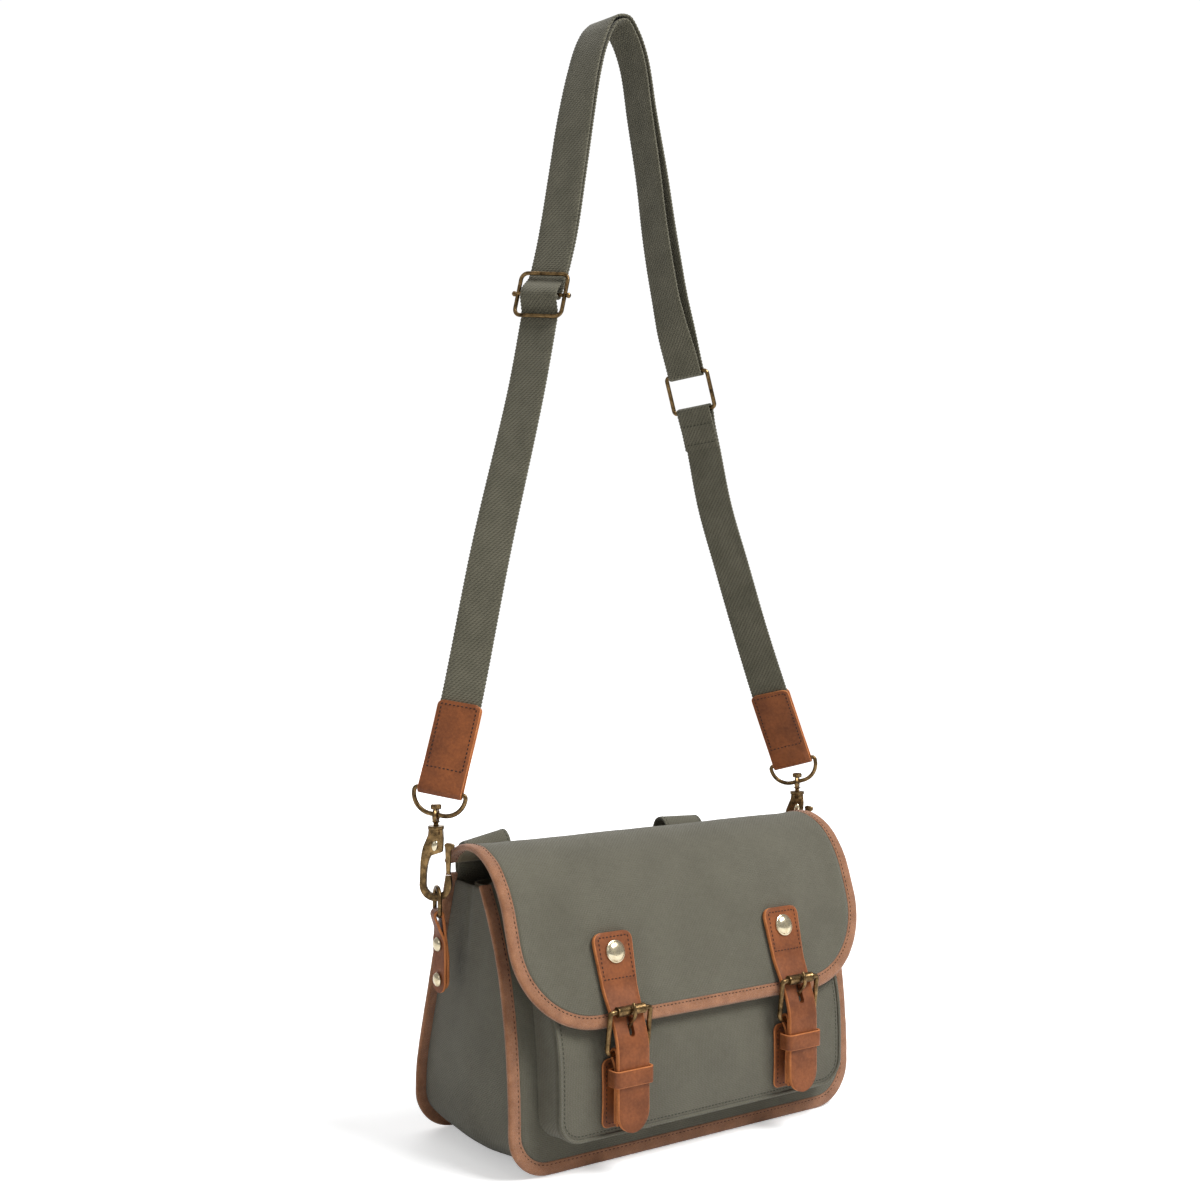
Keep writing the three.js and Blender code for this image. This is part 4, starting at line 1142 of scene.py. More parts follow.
def edge_frames(surface: Profile, line: Grid, outward: float, lift: float) -> tuple[Grid, Grid, Grid]:
    """Frames along a panel's edge line.

    Args:
        surface: the panel's surface.
        line: its edge line.
        outward: how far past the line, in the panel's own surface.
        lift: how far off the surface.

    Returns:
        The points, the outward directions and the face directions.
    """
    x, s, nx, ns = line.T
    p, up, n = surface.at(s + ns * outward, x + nx * outward)
    w = np.stack([nx, np.zeros_like(nx), np.zeros_like(nx)], -1) + up * ns[:, None]
    return p + n * lift, unit(w), n


def panel_rows(bottom: float, top: float, radius: float, corner: int = 18, straight: int = 60) -> Grid:
    """Row distances up a panel, closer together round its corners."""
    arc = bottom + radius * (1 - np.cos(np.linspace(0, math.pi / 2, corner)))
    return np.concatenate([arc, np.linspace(bottom + radius, top, straight)[1:]])


def rounded_half(above: Grid, half: float, radius: float) -> Grid:
    """Half the width of a panel with rounded lower corners, at heights above its bottom edge."""
    inside = np.clip(radius - above, 0, radius)
    return half - radius + np.sqrt(radius**2 - inside**2)


def panel_grid(
    surface: Profile, rows: Grid, half: float, radius: float, lift: float, cols: int = 90
) -> tuple[Grid, Grid, Grid]:
    """A panel's outer face as a grid: its points, face directions and places on the cloth."""
    wide = rounded_half(rows - rows[0], half, radius)
    share = np.linspace(-1, 1, cols)
    x = wide[:, None] * share[None]
    s = np.repeat(rows[:, None], cols, 1)
    p, _up, n = surface.at(s, x)
    return p + n * lift, n, np.stack([x, s], -1)


def fold_section(width: float, thickness: float) -> Grid:
    """A binding's section: suede folded over the seam, full at its outer edge and pressed flat at its inner one."""
    r = thickness / 2
    inner = -0.5
    out = 0.5 - r / width
    top = [
        (inner, 0.26), (inner + 0.02, 0.38), (inner + 0.08, 0.425), (inner + 0.17, 0.40),
        (inner + 0.26, 0.44), (0.0, 0.5), (out * 0.6, 0.5)
    ]
    arc = [
        (out + math.cos(a) * r / width, math.sin(a) * 0.5) for a in np.linspace(math.pi / 2, -math.pi / 2, 9)
    ]
    rows = top + arc + [(x, -h) for x, h in top[::-1]]
    return np.array([(x, h * thickness) for x, h in rows])


def napped(seed: float) -> Callable:
    """A slight unevenness for a hand-turned binding."""

    def shake(grid: Grid, normals: Grid) -> Grid:
        """Moves the binding's points a little along its face direction."""
        return grid + normals * (ripple(grid, 9, seed) * 0.22 + ripple(grid, 3, seed + 1) * 0.1)[..., None]

    return shake


@dataclass
class BagBody:
    """The front and back panels, the gusset between them, their bindings and the lining."""

    finishes: Finishes
    half_width: float = 143
    corner: float = 22
    panel_thickness: float = 2.2
    binding_width: float = 9
    binding_thickness: float = 3.5
    gusset_thickness: float = 2
    gusset_top: float = 190
    side_belly: float = 7
    bottom_sag: float = 6

    @property
    def bottom(self) -> float:
        """Where the panels start, just above the binding's outer half."""
        return self.binding_width + GAP

    def build(self) -> None:
        """Makes the body."""
        for name, surface, top in (("front", FRONT, FRONT.length - 1.5), ("back", BACK, BACK.length - 1)):
            self.panel(name, surface, top)
        self.binding("front", FRONT, FRONT.length - 3)
        self.binding("back", BACK, BACK.length - 9)
        self.gusset()
        self.lining()

    def panel(self, name: str, surface: Profile, top: float) -> None:
        """Makes one of the two large panels."""
        rows = panel_rows(self.bottom, top, self.corner)
        p, n, place = panel_grid(surface, rows, self.half_width, self.corner, self.panel_thickness / 2)
        rumple = ripple(p, 46, 2.0, vec(1, 1, 0.7)) * 0.5 + ripple(p, 18, 5.0) * 0.18 - 0.35
        edge = ease(
            self.half_width - np.abs(place[..., 0]), 0, 14
        ) * ease(place[..., 1], self.bottom, self.bottom + 14)
        p = p + n * (rumple * edge)[..., None]
        shell = Shell(p, n, self.panel_thickness, place)
        stand_for(
            shell.build(f"canvas_{name}", "body", [self.finishes.canvas], slot="canvas"), f"{name}_panel"
        )

    def binding(self, name: str, surface: Profile, top: float) -> None:
        """Makes the suede fold round a panel's seam, with its row of stitches."""
        line = edge_line(self.bottom, top, self.half_width, self.corner)
        p, w, n = edge_frames(surface, line, GAP + self.binding_width / 2, 0)
        ribbon = Ribbon(p, w, n, np.full(len(p), self.binding_width))
        section = fold_section(self.binding_width, self.binding_thickness)
        obj = ribbon.sweep(
            f"suede_{name}", "body", section, [self.finishes.suede], slot="suede", shake=napped(3.0)
        )
        stand_for(obj, f"{name}_binding")
        s = np.linspace(2, ribbon.length - 2, 700)
        sewn, face = ribbon.at(s, np.full(len(s), -2.7), self.binding_thickness * 0.415)
        stitches(
            f"stitches_{name}_seam", "body", sewn, face, self.finishes.thread, pitch=3.4, length=2.0,
            radius=0.3
        )

    def gusset(self) -> None:
        """Makes the strip that runs round the sides and bottom and bellies out between the bindings."""
        behind = -(self.binding_thickness / 2 + GAP)
        near_line = edge_line(
            self.bottom, min(FRONT.length - 5, self.gusset_top + 2), self.half_width, self.corner
        )
        far_line = edge_line(self.bottom, BACK.length - 14, self.half_width, self.corner)
        near, near_w, _ = edge_frames(FRONT, near_line, 1, behind)
        far, far_w, _ = edge_frames(BACK, far_line, 1, behind)
        a = np.linspace(0, 1, 40)[:, None]
        p = near[:, None] * (1 - a) + far[:, None] * a
        out = unit(near_w + far_w)[:, None] + np.zeros_like(p)
        down = np.maximum(-out[..., 2], 0)
        rise = np.clip(p[..., 2] / self.gusset_top, 0, 1)
        arch = np.sin(math.pi * a[None, :, 0])
        belly = arch * (self.bottom_sag * down + self.side_belly * (1 - down) * np.sin(math.pi * rise**0.8))
        soft = ripple(p, 40, 7.0, vec(1, 1.5, 0.45)) * 1.5 + ripple(p, 16, 9.0, vec(1, 1, 0.8)) * 0.45
        crease = -1.3 * np.exp(
            -(((a[None, :, 0] - 0.5 + 0.05 * np.sin(p[..., 2] / 30)) / 0.05) ** 2)
        ) * ease(p[..., 2], 90, 180)
        p = p + out * (
            belly + self.gusset_thickness / 2 + arch * (soft + crease - 0.4) * (1 - 0.6 * down)
        )[..., None]
        along = np.concatenate([[0], np.cumsum(np.linalg.norm(np.diff(near, axis=0), axis=1))])
        place = np.stack([np.repeat(a[None, :, 0] * 120, len(near), 0), np.repeat(along[:, None], 40, 1)], -1)
        shell = Shell(p, out, self.gusset_thickness, place)
        stand_for(shell.build("canvas_gusset", "body", [self.finishes.canvas], slot="canvas"), "gusset")

    def lining(self) -> None:
        """Makes the open cup of lining cloth inside."""
        inset = 2.6
        wall = 1.2
        floor = 15
        levels = np.linspace(floor, 186, 30)
        turn = np.linspace(0, 2 * math.pi, 97)
        z_line = lambda surface: (surface.line.points[:, 1], surface.line.points[:, 0])
        cup = []
        for clear, heights in ((inset, levels), (inset + wall, levels[::-1])):
            for z in heights:
                near = np.interp(z, *z_line(FRONT)) + clear
                far = np.interp(z, *z_line(BACK)) - clear
                wide = (self.half_width - 3 - clear) * min(1, 0.85 + (z - floor) / 200)
                high = max(z, floor + wall) if clear > inset else z
                cx = np.sign(np.cos(turn)) * np.abs(np.cos(turn)) ** 0.45
                cy = np.sign(np.sin(turn)) * np.abs(np.sin(turn)) ** 0.45
                cup.append(
                    np.stack(
                        [cx * wide, (near + far) / 2 + cy * (far - near) / 2, np.full(len(turn), high)], -1
                    )
                )
        grid = np.array(cup)
        rows, cols = grid.shape[:2]
        under = vec(0, 2, floor)
        points = np.vstack([grid.reshape(-1, 3), under[None], (under + [0, 0, wall])[None]])
        faces, uvs = [], []
        for i in range(rows - 1):
            for j in range(cols - 1):
                quad = [i * cols + j, i * cols + j + 1, (i + 1) * cols + j + 1, (i + 1) * cols + j]
                faces.append(quad)
                uvs.append([(q % cols * 0.008, points[q][2] * MM) for q in quad])
        for hub, row in ((len(points) - 2, 0), (len(points) - 1, rows - 1)):
            for j in range(cols - 1):
                face = [hub, row * cols + j, row * cols + j + 1]
                faces.append(face)
                uvs.append([(points[q][0] * MM, points[q][1] * MM) for q in face])
        obj = make_piece(
            "lining_cup", "body", points, faces, [self.finishes.lining], None, uvs
        )
        weld(obj)
        stand_for(obj, "lining")


@dataclass
class FrontPocket:
    """The flat pocket on the front panel, with its own narrow gusset and raised seams."""

    finishes: Finishes
    half_width: float = 126
    corner: float = 18
    bottom: float = 24
    top: float = 138
    cloth: float = 1.8

    def build(self) -> None:
        """Makes the pocket."""
        rows = panel_rows(0.5, POCKET.length - 0.5, self.corner, 14, 50)
        p, n, place = panel_grid(POCKET, rows, self.half_width, self.corner, 0)
        sides = ease(self.half_width - np.abs(place[..., 0]), 0, 16)
        slack = ripple(p, 34, 12.0, vec(1, 1, 0.6)) * 0.55 + ripple(p, 12, 14.0) * 0.2 - 0.45
        p = p + n * (slack * sides * ease(place[..., 1], 0, 14))[..., None]
        shell = Shell(p, n, self.cloth, place)
        stand_for(shell.build("canvas_pocket", "body", [self.finishes.canvas], slot="canvas"), "pocket_face")
        self.side()
        line = edge_line(0, POCKET.length - 0.5, self.half_width, self.corner)
        self.ridge("pocket_edge_fold", edge_frames(POCKET, line, -0.9, 0.35), 2.6, 2.0)
        sewn, _w, face = edge_frames(POCKET, line, -4.2, 0.0)
        stitches(
            "stitches_pocket_edge", "body", sewn, face, self.finishes.pale_thread, pitch=3.0, length=2.1,
            radius=0.26
        )

    def ridge(self, name: str, frames: tuple[Grid, Grid, Grid], width: float, height: float) -> None:
        """Makes a raised fold of cloth along a seam."""
        p, w, n = frames
        turn = np.linspace(0, 2 * math.pi, 12, endpoint=False)
        section = np.stack([np.cos(turn) / 2, np.sin(turn) * height / 2], -1)
        ribbon = Ribbon(p, w, n, np.full(len(p), width))
        ribbon.sweep(name, "body", section, [self.finishes.canvas], slot="canvas", shake=napped(21.0))

    def side(self) -> None:
        """Makes the pocket's narrow gusset back to the front panel."""
        line = edge_line(0, POCKET.length - 0.5, self.half_width, self.corner)
        near, w, _n = edge_frames(POCKET, line, 0, -self.cloth - GAP)
        share = line[:, 1] / POCKET.length
        s = self.bottom + (self.top - self.bottom + 3) * share
        far, _up, out = FRONT.at(s, line[:, 0] + line[:, 2] * 3)
        far = far + out * (1.1 + GAP)
        a = np.linspace(0, 1, 12)[:, None]
        p = near[:, None] * (1 - a) + far[:, None] * a
        pinch = np.sin(math.pi * a[None, :, 0]) * (ripple(p, 15, 31.0) * 0.8 - 0.9)
        normals = w[:, None] + np.zeros_like(p)
        p = p + normals * (self.cloth / 2 + pinch)[..., None]
        along = np.concatenate([[0], np.cumsum(np.linalg.norm(np.diff(near, axis=0), axis=1))])
        place = np.stack([np.repeat(a[None, :, 0] * 16, len(near), 0), np.repeat(along[:, None], 12, 1)], -1)
        shell = Shell(p, normals, self.cloth, place)
        stand_for(
            shell.build("canvas_pocket_side", "body", [self.finishes.canvas], slot="canvas"), "pocket_gusset"
        )


@dataclass
class Flap:
    """The curved flap: its panel, lining and binding."""

    finishes: Finishes
    half_width: float = 156
    corner: float = 62
    binding_width: float = 9
    binding_thickness: float = 4.2
    panel_thickness: float = 1.6
    lining_thickness: float = 1.0
    binding_proud: float = 0.6

    def grid(self, drop: float) -> tuple[Grid, Grid, Grid]:
        """The flap's face as a grid, a given drop under its outer face."""
        inner = self.binding_width + GAP
        corner = self.corner - inner
        rows = panel_rows(inner, FLAP.length - 0.6, corner, 26, 60)
        wide = rounded_half(rows - rows[0], self.half_width - inner, corner)
        x = wide[:, None] * np.linspace(-1, 1, 110)[None]
        s = np.repeat((FLAP.length - rows)[:, None], 110, 1)
        p, _up, n = FLAP.at(s, x)
        level = np.stack([x, s * 1.0, np.zeros_like(x)], -1)
        wave = ripple(level, 62, 41.0, vec(0.8, 1.3, 1)) * 0.75 + ripple(level, 22, 43.0) * 0.22 - 0.75
        held = ease(
            wide[:, None] - np.abs(x), 0, 18
        ) * ease(rows, inner, inner + 18)[:, None] * ease(s, 0, 14)
        return p + n * (wave * held - drop)[..., None], n, np.stack([x, s], -1)

    def build(self) -> None:
        """Makes the flap."""
        p, n, place = self.grid(0)
        cover = Shell(p, n, self.panel_thickness, place).build(
            "canvas_flap", "flap", [self.finishes.canvas], slot="canvas"
        )
        stand_for(cover, "flap_panel")
        p, n, place = self.grid(self.panel_thickness + GAP)
        under = Shell(p, n, self.lining_thickness, place)
        stand_for(
            under.build("lining_flap", "flap", [self.finishes.lining], slot="lining_cloth"), "flap_lining"
        )
        self.binding()

    def binding(self) -> None:
        """Makes the suede fold round the flap's free edge, with its dark row of stitches."""
        line = edge_line(
            self.binding_width, FLAP.length - 1.5, self.half_width - self.binding_width,
            self.corner - self.binding_width
        )
        x, s, nx, ns = line.T
        out = self.binding_width / 2
        p, up, n = FLAP.at(FLAP.length - s - ns * out, x + nx * out)
        w = np.stack([nx, np.zeros_like(nx), np.zeros_like(nx)], -1) - up * ns[:, None]
        p = p + n * (self.binding_proud - self.binding_thickness / 2)
        ribbon = Ribbon(p, w, n, np.full(len(p), self.binding_width))
        section = fold_section(self.binding_width, self.binding_thickness)
        obj = ribbon.sweep(
            "suede_flap", "flap", section, [self.finishes.suede], slot="suede", shake=napped(51.0)
        )
        stand_for(obj, "flap_binding")
        for name, height in (("stitches_flap_outside", 1), ("stitches_flap_inside", -1)):
            d = np.linspace(2, ribbon.length - 2, 900)
            sewn, face = ribbon.at(d, np.full(len(d), -2.7), self.binding_thickness * 0.415 * height)
            stitches(
                name, "flap", sewn, face * height, self.finishes.thread, pitch=3.2, length=1.9, radius=0.34
            )


# ---- The closures ----


def cut_through(obj: bpy.types.Object, centre: Grid, half: Grid, round_share: float = 1.0) -> None:
    """Cuts a rounded slot through a piece.

    Args:
        obj: the piece.
        centre: the slot's middle, in millimetres.
        half: half its size along each axis; it is cut along Y.
        round_share: how round its ends are.
    """
    bm = bmesh.new()
    r = min(half[0], half[2]) * round_share
    loop = rounded_loop(half[0], half[2], [r] * 4, 6)
    front = [bm.verts.new(Vector((centre + ORIGIN + [x, -half[1], z]) * MM)) for x, z in loop[:, :2]]
    rear = [bm.verts.new(Vector((centre + ORIGIN + [x, half[1], z]) * MM)) for x, z in loop[:, :2]]
    bm.faces.new(front)
    bm.faces.new(rear[::-1])
    for i in range(len(front)):
        j = (i + 1) % len(front)
        bm.faces.new([front[i], rear[i], rear[j], front[j]])
    bmesh.ops.recalc_face_normals(bm, faces=bm.faces)
    mesh = bpy.data.meshes.new("slot_cutter")
    bm.to_mesh(mesh)
    bm.free()
    cutter = bpy.data.objects.new("slot_cutter", mesh)
    bpy.context.scene.collection.objects.link(cutter)
    cutting = obj.modifiers.new("slot", "BOOLEAN")
    cutting.operation = "DIFFERENCE"
    cutting.solver = "EXACT"
    cutting.object = cutter
    bpy.context.view_layer.update()
    apply_modifiers(obj)
    bpy.data.objects.remove(cutter)
    obj.data.shade_smooth()
    obj.data.set_sharp_from_angle(angle=math.radians(50))


def upright_frames(x: float, points: Grid, width: float) -> list[tuple]:
    """Frames for a strap that keeps its width along X, from its (forward-back, height) points."""
    pts = np.asarray(points, float)
    ahead = np.vstack([pts[1:], pts[-1:]]) - np.vstack([pts[:1], pts[:-1]])
    t = unit(ahead)
    return [(vec(x, y, z), vec(1, 0, 0), vec(0, tz, -ty), width) for (y, z), (ty, tz) in zip(pts, t)]


def box_of_stitches(
    name: str, body: Body, ribbon: Ribbon, span: tuple[float, float], half: float, lift: float, finish: bpy.types.Material,
    pitch: float = 2.9,
) -> None:
    """Sews a rectangle on a strap's face.

    Args:
        name: the piece's name.
        body: the body that it rides on.
        ribbon: the strap.
        span: where the rectangle starts and ends along it.
        half: half its width.
        lift: the face's height over the strap's middle; negative for the inner face.
        finish: the thread.
        pitch: from stitch to stitch.
    """
    low, high = span
    corners = [(low, -half), (low, half), (high, half), (high, -half), (low, -half)]
    route = [np.linspace(a, b, 40)[:-1] for a, b in zip(np.array(corners[:-1]), np.array(corners[1:]))]
    track = np.vstack([*route, [corners[0]]])
    p, n = ribbon.at(track[:, 0], track[:, 1], lift)
    stitches(
        name, body, p, n * math.copysign(1, lift), finish, pitch=pitch, length=pitch * 0.66, radius=0.4,
        sink=0.16
    )


@dataclass
class Closure:
    """One closure: its strap and rivet, buckle, keeper, anchor and patch, with the hidden magnet."""

    finishes: Finishes
    side: Side
    reach: float = 76
    strap_thickness: float = 3.2
    top_width: float = 33
    low_width: float = 26
    tip: float = 15
    face_y: float = -94.6
    wire: float = 1.8
    roller_place: tuple[float, float] = (-91.9, 109.4)
    heel_place: tuple[float, float] = (-88.3, 81.0)
    keeper_z: float = 66
    magnet_z: float = 49
    rivet_share: float = 0.738

    @property
    def x(self) -> float:
        """How far the closure is across the bag."""
        return self.side.sign * self.reach

    def build(self) -> None:
        """Makes the closure."""
        self.strap()
        self.rivet()
        self.frame_and_roller()
        self.prong()
        self.anchor()
        self.keeper()
        self.patch()

    def strap(self) -> None:
        """Makes the leather strap: flat on the flap, behind the roller, out over the pocket and down to its tip."""
        shares = np.array([0.665, 0.705, 0.745, 0.785, 0.825, 0.865])
        p, _up, n = FLAP.at(shares * FLAP.length, 0)
        on_flap = p + n * (GAP + self.strap_thickness / 2 + 0.1)
        hanging = [
            [-86.4, 107.5], [-89.6, 100], [-92.8, 92], [-94.4, 84], [self.face_y, 74], [self.face_y, 60],
            [self.face_y, 46], [-94.4, 29]
        ]
        line = Line(np.vstack([on_flap[:, 1:], hanging]), Spacing.CENTRED)
        s = np.concatenate(
            [
                np.linspace(0, 8, 12), np.arange(9, line.length - self.tip, 1.2),
                line.length - self.tip * (1 - np.sin(np.linspace(0, math.pi / 2, 16)))
            ]
        )
        q, t = line.at(s), line.along(s)
        width = self.top_width + (self.low_width - self.top_width) * np.clip(
            (s / line.length - 0.02) / 0.42, 0, 1
        )
        corner = 7.0
        width -= 2 * (corner - np.sqrt(corner**2 - np.clip(corner - s, 0, corner) ** 2))
        nose = np.clip((s - line.length + self.tip) / self.tip, 0, 1)
        width *= np.maximum(np.sqrt(np.maximum(1 - nose**2.3, 0)), 0.12)
        centre = np.stack([np.full(len(s), self.x), q[:, 0], q[:, 1]], -1)
        w = np.repeat(vec(1, 0, 0)[None], len(s), 0)
        n = np.stack([np.zeros(len(s)), t[:, 1], -t[:, 0]], -1)
        ribbon = Ribbon(centre, w, n, width)
        section, edge = flat_section(self.strap_thickness, 0.55, 28, crown=0.12)
        obj = ribbon.sweep(
            f"leather_strap_{self.side.word}", "flap", section,
            [self.finishes.leather, self.finishes.raw_edge], edge, slot="saddle_leather"
        )
        cut_through(obj, vec(self.x, -89, 98.5), vec(2.3, 10, 6.5))
        stand_for(obj, f"closure_strap_{self.side.word}")
        box_of_stitches(
            f"stitches_strap_{self.side.word}", "flap", ribbon, (3.4, 31), 12.2,
            self.strap_thickness / 2 + 0.08, self.finishes.thread
        )

    def rivet(self) -> None:
        """Makes the domed rivet through the strap and flap, on its thin washer."""
        p, _up, n = FLAP.at(self.rivet_share * FLAP.length, self.x)
        seat = p + n * (2 * GAP + self.strap_thickness + 0.1)
        rows = [
            (0, 0), (7.5, 0), (7.75, 0.35), (7.6, 0.8), (7.1, 1.15), (6.9, 1.2), (6.5, 1.7), (5.6, 2.35),
            (4.2, 2.95), (2.6, 3.3), (1.2, 3.42), (0, 3.45)
        ]
        obj = turned(
            f"rivet_dome_{self.side.word}", "flap", rows, seat, n, self.finishes.pale_brass, 48
        )
        stand_for(obj, f"closure_rivet_{self.side.word}")

    def frame_and_roller(self) -> None:
        """Makes the buckle's wire frame and its roller."""
        (ry, rz), (hy, hz) = self.roller_place, self.heel_place
        height = math.hypot(ry - hy, rz - hz) / 2
        loop = rounded_loop(16.6, height, [2.5, 2.5, 4, 4])
        centre = vec(self.x, (ry + hy) / 2, (rz + hz) / 2)
        obj = wire_loop(
            f"buckle_wire_{self.side.word}", "flap", loop, centre, vec(1, 0, 0), vec(0, ry - hy, rz - hz),
            round_section(self.wire), self.finishes.brass,
        )
        stand_for(obj, f"buckle_frame_{self.side.word}")
        bore = self.wire + GAP
        rows = [
            (bore, -11.5), (3.0, -11.5), (3.4, -11.3), (3.5, -10.9), (3.5, -10.2), (3.42, -10), (3.42, 10),
            (3.5, 10.2), (3.5, 10.9), (3.4, 11.3), (3.0, 11.5), (bore, 11.5), (bore, -11.5)
        ]
        roller = turned(
            f"roller_tube_{self.side.word}", f"roller_{self.side.word}", rows, vec(self.x, ry, rz),
            vec(1, 0, 0), self.finishes.brass
        )
        stand_for(roller, f"buckle_roller_{self.side.word}")

    def prong(self) -> None:
        """Makes the prong, from its eye on the heel bar through the strap to its tip on the roller."""
        hy, hz = self.heel_place
        body = f"prong_{self.side.word}"
        route = [
            [hy + 0.6, hz + 3.1], [-87.6, 89], [-88.9, 95.5], [-92.6, 101], [-96.8, 106], [-97, 111],
            [-95.2, 114.8]
        ]
        line = Line([vec(self.x, y, z) for y, z in route])
        rod = tube(
            f"prong_rod_{self.side.word}", body, line, lambda u: 1.2 - 0.35 * max(0.0, u - 0.75) / 0.25,
            self.finishes.brass, flat=1.15
        )
        stand_for(rod, f"buckle_prong_{self.side.word}")
        eye = rounded_loop(3.25, 3.25, [3.25] * 4, 6)
        wire_loop(
            f"prong_eye_{self.side.word}", body, eye, vec(self.x, hy, hz), vec(0, 1, 0), vec(0, 0, 1),
            round_section(1.1, 12), self.finishes.brass
        )

    def anchor(self) -> None:
        """Makes the leather that folds round the buckle's heel bar and hangs behind the strap."""
        hy, hz = self.heel_place
        leather = 2.1
        turn_radius = self.wire + GAP + leather / 2
        bottom = 34
        points = [[-91.5, bottom], [-91.5, 50], [-91.5, 64], [hy - turn_radius, 75]]
        points += [
            [
                hy + turn_radius * math.cos(a), hz + turn_radius * math.sin(a)
            ] for a in np.linspace(math.pi, 0, 7)
        ]
        points += [[-85.9, 78.4], [-89.1, 72], [-89.1, 50], [-89.1, bottom + 1]]
        ribbon = Ribbon.through(upright_frames(self.x, np.array(points), 23), 1.0)
        section, edge = flat_section(leather, 0.6, 23)
        obj = ribbon.sweep(
            f"leather_anchor_{self.side.word}", "flap", section,
            [self.finishes.leather, self.finishes.raw_edge], edge, slot="saddle_leather"
        )
        cut_through(obj, vec(self.x, hy, hz + 2.2), vec(1.8, 7, 6.5), 0.9)
        stand_for(obj, f"buckle_anchor_{self.side.word}")

    def keeper(self) -> None:
        """Makes the leather loop that holds the strap's tail down."""
        outer = self.face_y - self.strap_thickness / 2 - GAP - 1
        inner = -89.1 + 1.05 + GAP + 0.9
        loop = rounded_loop(15.2, (inner - outer) / 2, [3] * 4)
        half_t, half_h, r = 0.85, 5.5, 0.4
        arc = lambda cx, cy, start: [
            (cx + r * math.cos(a), cy + r * math.sin(a)) for a in np.linspace(start, start + math.pi / 2, 4)
        ]
        section = np.array(
            arc(half_t - r, half_h - r, 0) + arc(
                r - half_t, half_h - r, math.pi / 2
            ) + arc(r - half_t, r - half_h, math.pi) + arc(half_t - r, r - half_h, 1.5 * math.pi)
        )
        edge = [1, 1, 1, 1, 1, 1, 1, 0, 1, 1, 1, 1, 1, 1, 1, 0]
        centre = vec(self.x, (outer + inner) / 2, self.keeper_z)
        obj = wire_loop(
            f"keeper_loop_{self.side.word}", "flap", loop, centre, vec(1, 0, 0), vec(0, 1, 0), section,
            [self.finishes.leather, self.finishes.raw_edge], edge, "saddle_leather",
        )
        stand_for(obj, f"keeper_{self.side.word}")
        stud = [(0, 0), (6.4, 0), (7, 0.4), (7, 1.9), (6.7, 2.2), (2.2, 2.2), (2, 1.6), (0, 1.6)]
        seat = vec(self.x, -89.1 + 1.05 + GAP, self.magnet_z)
        stand_for(
            turned(
                f"snap_stud_{self.side.word}", "flap", stud, seat, vec(0, 1, 0), self.finishes.steel,
            ),
            f"magnet_stud_{self.side.word}"
        )

    def patch(self) -> None:
        """Makes the stitched leather patch on the pocket, with the snap's other half."""
        thickness, half, corner = 1.6, 16, 4.5
        low, high = 7.0, 52.0
        rows = low + (high - low) * (1 - np.cos(np.linspace(0, math.pi, 40))) / 2
        inset = np.minimum(rows - low, high - rows)
        wide = half - corner + np.sqrt(corner**2 - np.clip(corner - inset, 0, corner) ** 2)
        x = self.x + wide[:, None] * np.linspace(-1, 1, 26)[None]
        s = np.repeat(rows[:, None], 26, 1)
        p, _up, n = POCKET.at(s, x)
        shell = Shell(p + n * (GAP + thickness), n, thickness, np.stack([x, s], -1))
        obj = shell.build(
            f"leather_patch_{self.side.word}", "body", [self.finishes.leather, self.finishes.raw_edge], rim=1,
            slot="saddle_leather"
        )
        stand_for(obj, f"pocket_patch_{self.side.word}")
        inner = rounded_loop(half - 2.6, (high - low) / 2 - 2.6, [3] * 4)
        q, _up, face = POCKET.at((low + high) / 2 + inner[:, 1], self.x + inner[:, 0])
        q, face = np.vstack([q, q[:1]]), np.vstack([face, face[:1]])
        stitches(
            f"stitches_patch_{self.side.word}", "body", q + face * (GAP + thickness), face,
            self.finishes.thread, pitch=3.0, length=2.0, radius=0.36
        )
        q, _up, face = POCKET.at(self.magnet_z - 24, self.x)
        socket = [(0, 0), (7.3, 0), (7.4, 0.3), (7.3, 1.0), (6.6, 1.5), (2.6, 1.5), (2.4, 1.1), (0, 1.1)]
        seat = q + face * (2 * GAP + thickness + 0.1)
        stand_for(
            turned(
                f"snap_socket_{self.side.word}", "body", socket, seat, face, self.finishes.steel,
            ),
            f"magnet_socket_{self.side.word}"
        )


# ---- The side tabs, hooks and back loops ----


